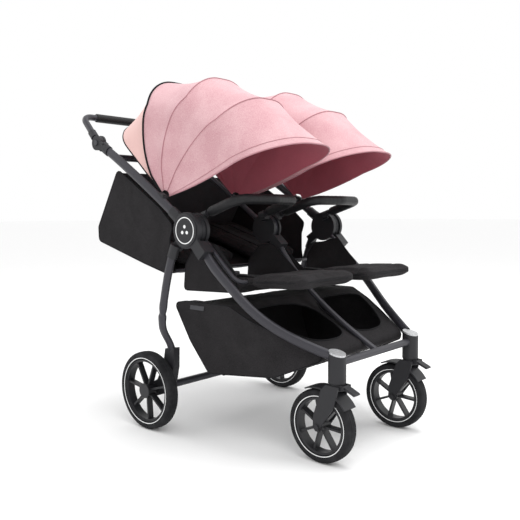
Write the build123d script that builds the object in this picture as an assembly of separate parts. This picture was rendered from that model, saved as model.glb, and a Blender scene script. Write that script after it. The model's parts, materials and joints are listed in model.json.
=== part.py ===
"""Side-by-side twin pushchair on four wheels, with two hoods.

Millimetres. +Z is up and -Y is the front. The child's left is +X. In this file y is measured
from the rear axle and z from the floor; export() moves everything so that the origin is under
the middle of the whole pushchair.
"""
from build123d import *
import os
from math import atan2, cos, degrees, hypot, radians, sin

os.makedirs("parts", exist_ok=True)

# ---------------------------------------------------------------- driving dimensions
# overall reach, front and back of the rear axle
FRONT_REACH = 716  # tip of the swivel lock pedals
REAR_REACH = 367  # back of the handle grip

# clearances
RUN = 0.3  # radius gap of a pin or a bore that turns
SEAT = 0.2  # gap of two pieces that are fixed together
SIDE = 1.0  # side gap between pieces that move past each other

# frame tubes, an oval section
TUBE_SIDE = 30  # seen from the side
TUBE_X = 20  # across the pushchair
TUBE_WALL = 1.6
SLEEVE = 3.0  # plastic around a tube end
SMALL_TUBE = 18
SEAT_TUBE = 14
CROSS_TUBE = 22
REAR_TUBE = 24

# fold axis and side hubs
HUB_Y, HUB_Z = -220, 648
TUBE_X0 = 345  # middle plane of the push tubes and the rear legs
PLATE_OUT = (353, 365)  # fixed plate outside the knuckles
KNUCKLE_PUSH = (340, 352)
KNUCKLE_LEG = (326.5, 338.5)
PLATE_IN = (314, 325.5)  # fixed plate inside the knuckles
HUB_R = 54
KNUCKLE_R = 48
PIVOT_R = 8
COVER_R, COVER_T = 49, 3.5
SOCKET_FROM, SOCKET_TO = 57, 100  # tube sleeves, measured from the fold axis

# push frame
JOINT_Y, JOINT_Z = 235, 939  # handle joints
PUSH_ARCH = 7
CROSSBAR_T = 0.80  # share of the push tube at which the upper crossbar sits
JOINT_R = 25
HANDLE_TUBE, GRIP_TUBE = 22, 30
HANDLE_X, HANDLE_Z, HANDLE_BEND = 331, 1042, 42  # half width, height and corner radius
GRIP_HALF = 276
BUTTON_R, BUTTON_TRAVEL = 9, 2.5

# centre hub and centre tubes
CENTRE_R = 48
CENTRE_KNUCKLE = 8.5
CENTRE_PLATE = (9.5, 18)
CENTRE_PIN = 6

# front swivels
SWIVEL_X, SWIVEL_Y = 202.4, -650
HOUSING_R, HOUSING_BOTTOM, HOUSING_TOP, HOUSING_SLOPE = 25, 234, 318, 14
CAP_T = 5
STEM_R, STEM_TOP = 6, 300
CROWN_R, CROWN_T = 23, 19
TRAIL = 50

# wheels
REAR_R, REAR_X, REAR_W, REAR_RIM = 126, 336, 40, 101
FRONT_R, FRONT_W, FRONT_RIM = 105, 39.5, 81
RIM_T, SPOKES, SPOKE_T = 7, 7, 6
REAR_BOLT, FRONT_BOLT = 5, 4

# rear legs, cross tube and brake
LEG_END_X = 300
SOCKET_X = (287, 312.5)
CROSS_Y, CROSS_Z = -30, 134
PEDAL_W = 110

# seats
SEAT_IN, SEAT_OUT = 26, 304  # sides of one seat
SEAT_FRONT_Y, SEAT_FRONT_Z = -385, 500
SEAT_BACK_Y = -148
PAD_T = 28
REST_IN, REST_OUT, REST_TIP = 21, 309, -614
RECLINE_Y, RECLINE_Z = -136, 522
BACK_L, RECLINE = 402, 17
PANEL_X, CLOTH = 306.5, 3

# bag behind the seats
BAG_X = 331.5
BAG_HUB_CUT = 97  # radius cut away round the hubs and the leg knuckles
BAG_SIDE = [(-150, 650), (-60, 716), (153, 846), (270, 654), (268, 606), (15, 537), (-128, 502), (-160, 566)]

# bumper bars
BUMP_OUT, BUMP_IN = 305, 44
BUMP_Y, BUMP_Z = -236, 693
BUMP_FRONT, BUMP_BAR, BUMP_GRIP = -403, 14, 29
BUMP_RISE = 18  # degrees above level at which it pulls off
BUMP_BOW, BUMP_BEND = 24, 44  # how far the front bows out, and the bends' radius
BUMP_BARE = 30  # length of bare tube at each end

# hoods: bows that turn on one pivot line
HOOD_IN, HOOD_OUT = 14, 332
HOOD_Y, HOOD_Z = -90, 748
BOW_REAR, BOW_2, BOW_3, BOW_RIM = (73.3, 398), (105, 379), (135, 403), (163, 485)
REAR_HEM = 42  # angle of the rear panel's lower edge
BOW_W, BOW_T, BOW_GAP, HOOD_CORNER = 8, 2.5, 0.5, 138
HEM_FROM = 130  # the cloth is sewn round a bow from this far out
PIVOT_PIN, LUG_R = 4, 11

# basket
BASKET_SIDE = [(-112, 420), (-170, 430), (-352, 430), (-452, 382), (-632, 300), (-480, 232), (-206, 199), (-150, 300)]
BASKET_TOP_X, BASKET_LOW_X = 321, 264
BASKET_TOP_Z, BASKET_LOW_Z = 430, 199
DIVIDER = 26  # cloth left between the two front openings

SHIFT_Y = (FRONT_REACH - REAR_REACH) / 2


# ---------------------------------------------------------------- helpers
def export(shape, name):
    export_step(Pos(0, SHIFT_Y, 0) * shape, f"parts/{name}.step")


def both(shape):
    """The +X piece and its mirror image, as separate solids."""
    return Compound(children=[s for p in (shape, mirror(shape, Plane.YZ)) for s in p.solids()])


def group(*shapes):
    return Compound(children=[s for p in shapes for s in p.solids()])


def other(shape):
    return mirror(shape, Plane.YZ)


def rod(x0, x1, y, z, r):
    """A cylinder along X."""
    return Pos((x0 + x1) / 2, y, z) * Rot(0, 90, 0) * Cylinder(r, abs(x1 - x0))


def slab(points, x0, x1):
    """A (y, z) outline made solid between x0 and x1."""
    x0, x1 = min(x0, x1), max(x0, x1)
    area = sum(a[0] * b[1] - b[0] * a[1] for a, b in zip(points, points[1:] + points[:1]))
    points = points if area > 0 else points[::-1]
    face = make_face(Polyline(*[(x0, y, z) for y, z in points], close=True))
    return Solid.extrude(face.face(), Vector(x1 - x0, 0, 0))


def turned(points, angle, y=HUB_Y, z=HUB_Z):
    """(along, across) points turned by angle about (y, z) in the side view."""
    c, s = cos(radians(angle)), sin(radians(angle))
    return [(y + a * c - b * s, z + a * s + b * c) for a, b in points]


def section(path, at, x_size, side_size, wall=None):
    plane = Plane(origin=path @ at, x_dir=(1, 0, 0), z_dir=path % at)
    shape = Ellipse(x_size / 2, side_size / 2)
    if wall:
        shape -= Ellipse(x_size / 2 - wall, side_size / 2 - wall)
    return plane * shape


def tube(path, x_size, side_size, wall=None):
    return sweep(section(path, 0, x_size, side_size, wall), path)


def straight(a, b):
    return Line(a, b)


def sleeve(a, b, x_size=TUBE_X, side_size=TUBE_SIDE):
    """A plastic sleeve along a straight tube end from a to b."""
    return tube(straight(a, b), x_size + 2 * SLEEVE, side_size + 2 * SLEEVE)


def on_hub(angle, r, x):
    y, z = turned([(r, 0)], angle)[0]
    return Vector(x, y, z)


def unit(a, b):
    return (Vector(*b) - Vector(*a)).normalized()


# ---------------------------------------------------------------- frame lines
PUSH_ANGLE = degrees(atan2(JOINT_Z - HUB_Z, JOINT_Y - HUB_Y))
PUSH_LEN = hypot(JOINT_Z - HUB_Z, JOINT_Y - HUB_Y)
LEG_TOP = (TUBE_X0, -151, 600)
LEG_POINTS = [
    LEG_TOP, (TUBE_X0, -127, 546), (TUBE_X0, -103, 467), (TUBE_X0, -86, 386), (340, -81, 336),
    (318, -79, 297), (303, -78, 264), (LEG_END_X, -72, 226),
]
FRONT_TOP = (339, -267, 598)
FRONT_POINTS = [FRONT_TOP, (338, -323, 531), (335, -376, 486), (325, -426, 440), (297, -493, 386), (257, -567, 342),
                (208, -644, 306)]
FRONT_ANGLE = degrees(atan2(FRONT_TOP[2] - HUB_Z, FRONT_TOP[1] - HUB_Y)) % 360
LEG_ANGLE = degrees(atan2(LEG_TOP[2] - HUB_Z, LEG_TOP[1] - HUB_Y))


def push_line(t, lift=0):
    """(y, z) on the middle line of a push tube, t from the fold axis to the handle joint."""
    return turned([(t * PUSH_LEN, 4 * PUSH_ARCH * t * (1 - t) + lift)], PUSH_ANGLE)[0]


def push_path(t0, t1, x):
    return Spline(*[(x, *push_line(t0 + (t1 - t0) * k / 4)) for k in range(5)])


# ---------------------------------------------------------------- side hubs and front frame
outer_plate = rod(*PLATE_OUT, HUB_Y, HUB_Z, HUB_R) + rod(PLATE_IN[0], PLATE_OUT[0], HUB_Y, HUB_Z, PIVOT_R)
arm = slab(turned([(30, -18), (SOCKET_TO, -18), (SOCKET_TO, 18), (30, 18)], FRONT_ANGLE), *PLATE_OUT)
outer_plate += arm
arm_box = slab(
    turned([(SOCKET_FROM + 1, -18), (SOCKET_TO, -18), (SOCKET_TO, 18), (SOCKET_FROM + 1, 18)], FRONT_ANGLE),
    PLATE_IN[1] + SEAT, PLATE_OUT[0],
)
outer_plate += arm_box

front_path = Spline(*FRONT_POINTS)
housing_cut = Pos(SWIVEL_X, SWIVEL_Y, 280) * Cylinder(HOUSING_R + SEAT, 140)
front_tube = tube(front_path, TUBE_X, TUBE_SIDE, TUBE_WALL) - housing_cut
front_tube = max(front_tube.solids(), key=lambda s: s.volume)
front_hole = tube(front_path, TUBE_X + 2 * SEAT, TUBE_SIDE + 2 * SEAT)
outer_plate = outer_plate - front_hole

inner_plate = rod(*PLATE_IN, HUB_Y, HUB_Z, HUB_R - 2) - rod(300, 340, HUB_Y, HUB_Z, PIVOT_R + SEAT)
pull = unit((0, 0, 0), (0, -cos(radians(BUMP_RISE)), sin(radians(BUMP_RISE))))


def bumper_socket(x, x_to):
    """A socket for one end of a bumper bar, on an arm that reaches x_to."""
    start = Vector(x, BUMP_Y, BUMP_Z) - pull * 6
    body = Plane(origin=start, x_dir=(1, 0, 0), z_dir=pull) * Cylinder(
        BUMP_BAR / 2 + 4, 26, align=(Align.CENTER, Align.CENTER, Align.MIN))
    web = slab([(BUMP_Y - 14, BUMP_Z - 14), (BUMP_Y + 10, BUMP_Z - 22), (BUMP_Y + 10, BUMP_Z + 2),
                (BUMP_Y - 10, BUMP_Z + 6)], x, x_to)
    hole = Plane(origin=start + pull * 4, x_dir=(1, 0, 0), z_dir=pull) * Cylinder(
        BUMP_BAR / 2 + RUN, 60, align=(Align.CENTER, Align.CENTER, Align.MIN))
    return body + web, hole


body, hole = bumper_socket(BUMP_OUT, PLATE_IN[0] + 1)
inner_plate = (inner_plate + body) - hole
inner_plate = inner_plate - rod(300, 340, HUB_Y, HUB_Z, PIVOT_R + SEAT)
export(group(both(outer_plate), both(inner_plate)), "side_hubs")

cover = rod(PLATE_OUT[1], PLATE_OUT[1] + COVER_T, HUB_Y, HUB_Z, COVER_R)
cover = fillet(cover.edges().filter_by(GeomType.CIRCLE).sort_by(Axis.X)[-1:], 2)
export(both(cover), "hub_covers")
export(both(front_tube), "front_tubes")

# swivel housings, their caps and the crossbar between them
tilt = Plane(origin=(SWIVEL_X, SWIVEL_Y, HOUSING_TOP), x_dir=(1, 0, 0),
             z_dir=(0, -sin(radians(HOUSING_SLOPE)), cos(radians(HOUSING_SLOPE))))
post = Pos(SWIVEL_X, SWIVEL_Y, HOUSING_BOTTOM) * Cylinder(
    HOUSING_R, 140, align=(Align.CENTER, Align.CENTER, Align.MIN))
above = tilt * Box(200, 200, 100, align=(Align.CENTER, Align.CENTER, Align.MIN))
below_cap = tilt.offset(-CAP_T) * Box(200, 200, 200, align=(Align.CENTER, Align.CENTER, Align.MIN))
housing = post - below_cap
housing -= Pos(SWIVEL_X, SWIVEL_Y, HOUSING_BOTTOM) * Cylinder(
    STEM_R + RUN, 2 * (STEM_TOP + RUN - HOUSING_BOTTOM))
export(both(housing), "swivel_housings")
cap_disc = Pos(SWIVEL_X, SWIVEL_Y, HOUSING_BOTTOM) * Cylinder(
    HOUSING_R - 1, 140, align=(Align.CENTER, Align.CENTER, Align.MIN))
cap = (cap_disc & below_cap) - above
export(both(cap), "swivel_caps")

CROSSBAR_Y, CROSSBAR_Z = SWIVEL_Y, 288
crossbar_x = SWIVEL_X - HOUSING_R - SEAT
crossbar = rod(-crossbar_x - 5, crossbar_x + 5, CROSSBAR_Y, CROSSBAR_Z, CROSS_TUBE / 2)
crossbar -= rod(-crossbar_x - 6, crossbar_x + 6, CROSSBAR_Y, CROSSBAR_Z, CROSS_TUBE / 2 - TUBE_WALL)
crossbar -= group(housing_cut, other(housing_cut))
export(crossbar, "front_crossbar")

# centre hub, with the inner sockets of both bumper bars
CENTRE_DOWN = degrees(atan2(-124, -140)) % 360
plate = rod(*CENTRE_PLATE, HUB_Y, HUB_Z, CENTRE_R)
in_body, in_hole = bumper_socket(BUMP_IN, CENTRE_PLATE[0] + 2)
plate = (plate + in_body) - in_hole
neck = slab(turned([(CENTRE_R + 3, -14), (92, -14), (92, 14), (CENTRE_R + 3, 14)], CENTRE_DOWN),
            -CENTRE_PLATE[1], CENTRE_PLATE[1])
ears = slab(turned([(20, -14), (92, -14), (92, 14), (20, 14)], CENTRE_DOWN), *CENTRE_PLATE)
centre_hub = plate + other(plate) + neck + ears + other(ears)
centre_hub += rod(-CENTRE_PLATE[1], CENTRE_PLATE[1], HUB_Y, HUB_Z, CENTRE_PIN)
centre_path = Spline(on_hub(CENTRE_DOWN, 62, 0), (0, -385, 468), (0, -520, 366), (0, CROSSBAR_Y, CROSSBAR_Z + 2))
centre_hub -= tube(centre_path, SMALL_TUBE + 2 * SEAT, SMALL_TUBE + 2 * SEAT)
export(centre_hub, "centre_hub")
centre_tube = tube(centre_path, SMALL_TUBE, SMALL_TUBE, TUBE_WALL)
centre_tube -= rod(-60, 60, CROSSBAR_Y, CROSSBAR_Z, CROSS_TUBE / 2 + SEAT)
centre_tube = max(centre_tube.solids(), key=lambda s: s.volume)
export(centre_tube, "centre_tube")

# seat front tube, a bent tube from hub to hub
RAIL_X = PLATE_IN[0] + 4
RAIL_ANGLE = degrees(atan2(SEAT_FRONT_Z - HUB_Z, SEAT_FRONT_Y - HUB_Y)) % 360
rail_top = on_hub(RAIL_ANGLE, HUB_R - 2 + SEAT, RAIL_X)
corner = 34
rail_dir = (Vector(RAIL_X, SEAT_FRONT_Y, SEAT_FRONT_Z) - rail_top).normalized()
bend_in = Vector(RAIL_X, SEAT_FRONT_Y, SEAT_FRONT_Z) - rail_dir * corner
bend_out = Vector(RAIL_X - corner, SEAT_FRONT_Y, SEAT_FRONT_Z)
line_in = Line(rail_top, bend_in)
arc_in = Spline(bend_in, bend_out, tangents=[rail_dir, Vector(-1, 0, 0)])
line_mid = Line(bend_out, Vector(-bend_out.X, bend_out.Y, bend_out.Z))
arc_back = Spline(Vector(-bend_out.X, bend_out.Y, bend_out.Z), Vector(-bend_in.X, bend_in.Y, bend_in.Z),
                  tangents=[Vector(-1, 0, 0), Vector(0, -rail_dir.Y, -rail_dir.Z)])
line_back = Line(Vector(-bend_in.X, bend_in.Y, bend_in.Z), Vector(-rail_top.X, rail_top.Y, rail_top.Z))
rail_path = Wire([line_in.edge(), arc_in.edge(), line_mid.edge(), arc_back.edge(), line_back.edge()])
ring = Circle(SEAT_TUBE / 2) - Circle(SEAT_TUBE / 2 - TUBE_WALL)
seat_front = sweep(Plane(origin=rail_top, x_dir=(1, 0, 0), z_dir=rail_dir) * ring, rail_path)
seat_front -= both(rod(PLATE_IN[0] - 1, PLATE_IN[1] + 1, HUB_Y, HUB_Z, HUB_R - 2 + SEAT))
export(seat_front, "seat_front_tube")
seat_front_room = sweep(Plane(origin=rail_top, x_dir=(1, 0, 0), z_dir=rail_dir) * Circle(SEAT_TUBE / 2 + SEAT), rail_path)

# ---------------------------------------------------------------- push frame
t0 = (SOCKET_FROM + 7) / PUSH_LEN
t1 = 1 - (JOINT_R + 8) / PUSH_LEN
path = push_path(t0, t1, TUBE_X0)
push_tube = tube(path, TUBE_X, TUBE_SIDE, TUBE_WALL)
push_hole = tube(path, TUBE_X + 2 * SEAT, TUBE_SIDE + 2 * SEAT)
export(both(push_tube), "push_tubes")

start = Vector(TUBE_X0, *push_line((SOCKET_FROM + 3) / PUSH_LEN))
end = Vector(TUBE_X0, *push_line(SOCKET_TO / PUSH_LEN))
PUSH_START = degrees(atan2(start.Z - HUB_Z, start.Y - HUB_Y))
knuckle = rod(*KNUCKLE_PUSH, HUB_Y, HUB_Z, KNUCKLE_R)
knuckle += slab(turned([(0, -17), (SOCKET_FROM + 16, -17), (SOCKET_FROM + 16, 17), (0, 17)], PUSH_START),
                *KNUCKLE_PUSH)
knuckle += sleeve(start, end)
knuckle -= rod(300, 380, HUB_Y, HUB_Z, PIVOT_R + RUN)
knuckle -= push_hole
export(both(knuckle), "push_knuckles")

# the tubes' upper ends carry a forked joint for the handle
FORK_OUT = (TUBE_X0 + 5, TUBE_X0 + 12)
FORK_IN = (TUBE_X0 - 12, TUBE_X0 - 5)
top_a = Vector(TUBE_X0, *push_line(t1 - 0.06))
top_b = Vector(TUBE_X0, *push_line(1 - (JOINT_R + 1.5) / PUSH_LEN))
TOP_ANGLE = degrees(atan2(top_b.Z - top_a.Z, top_b.Y - top_a.Y))
joint = sleeve(top_a, top_b, TUBE_X, TUBE_SIDE - 1)
for x0, x1 in (FORK_OUT, FORK_IN):
    joint += rod(x0, x1, JOINT_Y, JOINT_Z, JOINT_R)
    joint += slab(turned([(-JOINT_R - 10, -15), (0, -15), (0, 15), (-JOINT_R - 10, 15)], TOP_ANGLE,
                         JOINT_Y, JOINT_Z), x0, x1)
joint -= rod(FORK_OUT[0] - 1, FORK_OUT[1] + 1, JOINT_Y, JOINT_Z, BUTTON_R + RUN)
joint += rod(FORK_IN[0], TUBE_X0 + 3, JOINT_Y, JOINT_Z, PIVOT_R - 2)
joint -= push_hole
export(both(joint), "handle_joint_forks")

cb = push_line(CROSSBAR_T)
bar_x = TUBE_X0 - TUBE_X / 2 - SEAT
crossbar_up = rod(-bar_x, bar_x, *cb, CROSS_TUBE / 2) - rod(-bar_x - 1, bar_x + 1, *cb, CROSS_TUBE / 2 - TUBE_WALL)
recline_rod = rod(-BAG_X + CLOTH + SEAT, BAG_X - CLOTH - SEAT, RECLINE_Y, RECLINE_Z, 5)
export(group(crossbar_up, recline_rod), "push_cross_tubes")

post_path = push_path((CENTRE_R - 14) / PUSH_LEN, CROSSBAR_T - 0.01, 0)
centre_post = tube(post_path, SMALL_TUBE - 2, SMALL_TUBE)
centre_post += rod(-CENTRE_KNUCKLE, CENTRE_KNUCKLE, HUB_Y, HUB_Z, CENTRE_R - 6)
centre_post -= rod(-40, 40, HUB_Y, HUB_Z, CENTRE_PIN + RUN)
centre_post -= rod(-40, 40, *cb, CROSS_TUBE / 2 + SEAT)
centre_post = max(centre_post.solids(), key=lambda s: s.volume)
export(centre_post, "centre_post")

# hood clips: a saddle on each push tube and one across the centre post
saddle = slab([(HOOD_Y - 13, HOOD_Z - 9), (HOOD_Y + 13, HOOD_Z + 7), (HOOD_Y + 13, HOOD_Z + 17),
               (HOOD_Y - 13, HOOD_Z + 9)], HOOD_OUT + 1.5, TUBE_X0 + 6)
saddle += rod(HOOD_OUT + 1.5, TUBE_X0 - TUBE_X / 2 - SEAT, HOOD_Y, HOOD_Z, LUG_R)
saddle += rod(HOOD_OUT - 14, HOOD_OUT + 3, HOOD_Y, HOOD_Z, PIVOT_PIN)
saddle -= push_hole
centre_clip = rod(-HOOD_IN + 1.5, HOOD_IN - 1.5, HOOD_Y, HOOD_Z, LUG_R)
centre_clip += rod(-HOOD_IN - 14, HOOD_IN + 14, HOOD_Y, HOOD_Z, PIVOT_PIN)
centre_clip -= tube(post_path, SMALL_TUBE - 2 + 2 * SEAT, SMALL_TUBE + 2 * SEAT)
saddle = max(saddle.solids(), key=lambda s: s.volume)
centre_clip = max(centre_clip.solids(), key=lambda s: s.volume)
export(group(both(saddle), centre_clip), "hood_clips")

# bag: side panels under the push tubes, a floor and a mesh back, open at the top and the front
outer_bag = slab(BAG_SIDE, -BAG_X, BAG_X)
inner_pts = [(-320, 700), (-60, 1000), (153 + 90, 950), (270 - CLOTH, 654), (268 - CLOTH, 606 + CLOTH + 1),
             (15, 537 + CLOTH), (-128, 502 + CLOTH), (-320, 430)]
inner_bag = slab(inner_pts, -BAG_X + CLOTH, BAG_X - CLOTH)
bag = outer_bag - inner_bag - both(rod(PLATE_IN[0], 370, HUB_Y, HUB_Z, BAG_HUB_CUT))
bag -= both(push_hole + sleeve(start, end + (end - start) * 0.04))
bag = max(bag.solids(), key=lambda s: s.volume)
export(bag, "seat_bag")

# handle: one bent tube, a foam grip and the joints' inner discs
disc = rod(FORK_IN[1] + SIDE, FORK_OUT[0] - SIDE, JOINT_Y, JOINT_Z, JOINT_R - 1)
HANDLE_Y = REAR_REACH - GRIP_TUBE / 2
HANDLE_ANGLE = degrees(atan2(HANDLE_Z - JOINT_Z, HANDLE_Y - JOINT_Y))
arm_a = Vector(TUBE_X0, *turned([(JOINT_R + 3, 0)], HANDLE_ANGLE, JOINT_Y, JOINT_Z)[0])
handle_corner = Vector(HANDLE_X, HANDLE_Y, HANDLE_Z)
arm_b = arm_a + (handle_corner - arm_a).normalized() * 32
handle_path = FilletPolyline(arm_a, handle_corner, Vector(-HANDLE_X, HANDLE_Y, HANDLE_Z),
                             Vector(-arm_a.X, arm_a.Y, arm_a.Z), radius=HANDLE_BEND)
handle = tube(handle_path, HANDLE_TUBE, HANDLE_TUBE) - tube(
    handle_path, HANDLE_TUBE - 2 * TUBE_WALL, HANDLE_TUBE - 2 * TUBE_WALL)
export(handle, "handle_bar")
grip = rod(-GRIP_HALF, GRIP_HALF, HANDLE_Y, HANDLE_Z, GRIP_TUBE / 2)
grip = fillet(grip.edges().filter_by(GeomType.CIRCLE), 4)
grip -= rod(-GRIP_HALF - 1, GRIP_HALF + 1, HANDLE_Y, HANDLE_Z, HANDLE_TUBE / 2 + SEAT)
export(grip, "handle_grip")
disc += slab(turned([(0, -13), (JOINT_R + 8, -13), (JOINT_R + 8, 13), (0, 13)], HANDLE_ANGLE, JOINT_Y, JOINT_Z),
             FORK_IN[1] + SIDE, FORK_OUT[0] - SIDE)
disc += tube(straight(arm_a, arm_b), HANDLE_TUBE + 2 * SLEEVE, HANDLE_TUBE + 2 * SLEEVE)
disc -= rod(320, 380, JOINT_Y, JOINT_Z, PIVOT_R - 2 + RUN)
disc -= tube(handle_path, HANDLE_TUBE + 2 * SEAT, HANDLE_TUBE + 2 * SEAT)
disc = max(disc.solids(), key=lambda s: s.volume)
export(both(disc), "handle_joint_discs")
button = rod(FORK_OUT[0] + BUTTON_TRAVEL + 0.3, FORK_OUT[1] + 3.5, JOINT_Y, JOINT_Z, BUTTON_R)
export(button, "handle_button_left")
export(other(button), "handle_button_right")

# ---------------------------------------------------------------- rear legs, axle and brake
leg_path = Spline(*LEG_POINTS)
leg = tube(leg_path, TUBE_X, TUBE_SIDE, TUBE_WALL)
leg_hole = tube(leg_path, TUBE_X + 2 * SEAT, TUBE_SIDE + 2 * SEAT)
export(both(leg), "rear_legs")

leg_r = hypot(LEG_TOP[1] - HUB_Y, LEG_TOP[2] - HUB_Z)
leg_dir = unit(LEG_TOP, LEG_POINTS[1])
leg_knuckle = rod(*KNUCKLE_LEG, HUB_Y, HUB_Z, KNUCKLE_R)
leg_knuckle += slab(turned([(0, -16), (leg_r + 8, -16), (leg_r + 8, 16), (0, 16)], LEG_ANGLE), *KNUCKLE_LEG)
leg_knuckle += sleeve(Vector(*LEG_TOP) - leg_dir * 3, Vector(*LEG_TOP) + leg_dir * 40)
leg_knuckle -= rod(300, 380, HUB_Y, HUB_Z, PIVOT_R + RUN)
leg_knuckle -= leg_hole
leg_knuckle -= rod(PLATE_OUT[0] - SIDE, 380, HUB_Y, HUB_Z, HUB_R + SIDE)
leg_knuckle = max(leg_knuckle.solids(), key=lambda s: s.volume)
export(both(leg_knuckle), "leg_knuckles")

socket = slab([(-98, 272), (-56, 266), (-44, 206), (-14, 158), (10, 146), (20, 132), (19, 114), (6, 104),
               (-14, 104), (-52, 118), (-84, 160), (-96, 210)], *SOCKET_X)
socket -= leg_hole
socket -= rod(270, 320, 0, REAR_R, REAR_BOLT + SEAT)
socket = max(socket.solids(), key=lambda s: s.volume)
export(both(socket), "leg_sockets")

stub = rod(SOCKET_X[0] - 4, REAR_X + REAR_W / 2 - 6, 0, REAR_R, REAR_BOLT)
stub += rod(SOCKET_X[0] - 9, SOCKET_X[0] - SEAT, 0, REAR_R, REAR_BOLT + 4)
export(both(stub), "rear_axles")
cross = rod(-SOCKET_X[0] + SEAT, SOCKET_X[0] - SEAT, CROSS_Y, CROSS_Z, REAR_TUBE / 2)
cross -= rod(-300, 300, CROSS_Y, CROSS_Z, REAR_TUBE / 2 - TUBE_WALL)
export(cross, "rear_cross_tube")

pedal = rod(-24, 24, CROSS_Y, CROSS_Z, REAR_TUBE / 2 + 5)
pedal += slab([(CROSS_Y, CROSS_Z - 4), (CROSS_Y, CROSS_Z + 12), (CROSS_Y + 62, CROSS_Z + 34), (CROSS_Y + 66, CROSS_Z + 26)],
              -15, 15)
pedal += rod(-PEDAL_W / 2, PEDAL_W / 2, CROSS_Y + 66, CROSS_Z + 31, 8)
pedal -= rod(-60, 60, CROSS_Y, CROSS_Z, REAR_TUBE / 2 + RUN)
export(pedal, "brake_pedal")


# ---------------------------------------------------------------- wheels
def tyre(r, width, rim):
    profile = Plane.XZ * Pos(0, (r + rim) / 2) * RectangleRounded(width, r - rim, min(11, (r - rim) / 2 - 0.5))
    return revolve(profile, Axis.X, 360)


def rim(r, width, hub_r, bore, turn, cap):
    """A ring, a hub and thin deep spokes; cap adds the round cover on the +X side."""
    outer = r - SEAT
    ring = revolve(Plane.XZ * Pos(0, outer - RIM_T / 2) * Rectangle(width - 8, RIM_T), Axis.X, 360)
    hub = Rot(0, 90, 0) * Cylinder(hub_r, width + 2)
    shape = ring + hub
    for k in range(SPOKES):
        spoke = Pos(0, 0, (hub_r + outer - RIM_T) / 2) * Box(width - 16, SPOKE_T, outer - RIM_T - hub_r + 3)
        shape += Rot(turn + 360 * k / SPOKES, 0, 0) * spoke
    if cap:
        shape += Pos(width / 2 + 1, 0, 0) * Rot(0, 90, 0) * Cylinder(hub_r + 5, 4)
        shape -= Pos(-5, 0, 0) * Rot(0, 90, 0) * Cylinder(bore + RUN, width + 4)
    else:
        shape -= Rot(0, 90, 0) * Cylinder(bore + RUN, width + 40)
    return shape


rear_at = Pos(REAR_X, 0, REAR_R)
rear_tyre = rear_at * tyre(REAR_R, REAR_W, REAR_RIM)
rear_rim = rear_at * rim(REAR_RIM, REAR_W - 4, 19, REAR_BOLT, 73.6, True)
front_at = Pos(SWIVEL_X, SWIVEL_Y + TRAIL, FRONT_R)
front_tyre = front_at * tyre(FRONT_R, FRONT_W, FRONT_RIM)
front_rim = front_at * rim(FRONT_RIM, FRONT_W, 16, FRONT_BOLT, 93, False)
for side, flip in (("left", lambda s: s), ("right", other)):
    export(flip(rear_tyre), f"rear_tyre_{side}")
    export(flip(rear_rim), f"rear_rim_{side}")
    export(flip(front_tyre), f"front_tyre_{side}")
    export(flip(front_rim), f"front_rim_{side}")

# ---------------------------------------------------------------- castor forks and lock pedals
leg_gap = FRONT_W / 2 + 1 + SIDE
leg_t = 5.5
axle_y = SWIVEL_Y + TRAIL
crown_top = HOUSING_BOTTOM - SIDE
crown = Pos(SWIVEL_X, SWIVEL_Y, crown_top) * Cylinder(CROWN_R, CROWN_T, align=(Align.CENTER, Align.CENTER, Align.MAX))
fork = crown + Pos(SWIVEL_X, SWIVEL_Y, crown_top - 4) * Cylinder(
    STEM_R, STEM_TOP - crown_top + 4, align=(Align.CENTER, Align.CENTER, Align.MIN))
blade = [(SWIVEL_Y - 22, crown_top - 5), (SWIVEL_Y + 20, crown_top - 3), (SWIVEL_Y + 36, crown_top - 20),
         (axle_y + 12, FRONT_R + 30), (axle_y + 13, FRONT_R), (axle_y + 5, FRONT_R - 12), (axle_y - 5, FRONT_R - 12),
         (axle_y - 13, FRONT_R + 2), (SWIVEL_Y - 8, FRONT_R + 66)]
for sign in (1, -1):
    a, b = SWIVEL_X + sign * leg_gap, SWIVEL_X + sign * (leg_gap + leg_t)
    fork += slab(blade, a, b)
guard = Plane.XZ * Pos(0, FRONT_R + 6) * Rectangle(2 * (leg_gap + leg_t), 4)
guard = Pos(SWIVEL_X, axle_y, FRONT_R) * Rot(-22, 0, 0) * revolve(guard, Axis.X, 78)
fork += guard
fork -= rod(SWIVEL_X - 60, SWIVEL_X + 60, axle_y, FRONT_R, FRONT_BOLT + SEAT)
fork -= Pos(SWIVEL_X, axle_y, FRONT_R) * Rot(0, 90, 0) * Cylinder(FRONT_R + 3.5, 2 * leg_gap)
HINGE_Y, HINGE_Z = SWIVEL_Y - CROWN_R - 5.5, crown_top - 7
for sign in (1, -1):
    a, b = SWIVEL_X + sign * 14, SWIVEL_X + sign * 18
    fork += slab([(HINGE_Y + 12, HINGE_Z + 6), (HINGE_Y + 12, HINGE_Z - 8), (HINGE_Y - 5, HINGE_Z - 5),
                  (HINGE_Y - 5, HINGE_Z + 5)], a, b)
fork += rod(SWIVEL_X - 15, SWIVEL_X + 15, HINGE_Y, HINGE_Z, 2)
fork = max(fork.solids(), key=lambda s: s.volume)
bolt = rod(SWIVEL_X - leg_gap - leg_t - 2, SWIVEL_X + leg_gap + leg_t + 2, axle_y, FRONT_R, FRONT_BOLT)
for sign in (1, -1):
    a = SWIVEL_X + sign * (leg_gap + leg_t + SEAT)
    bolt += rod(a, a + sign * 4, axle_y, FRONT_R, FRONT_BOLT + 4)
export(group(fork, bolt), "fork_left")
export(group(other(fork), other(bolt)), "fork_right")

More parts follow.
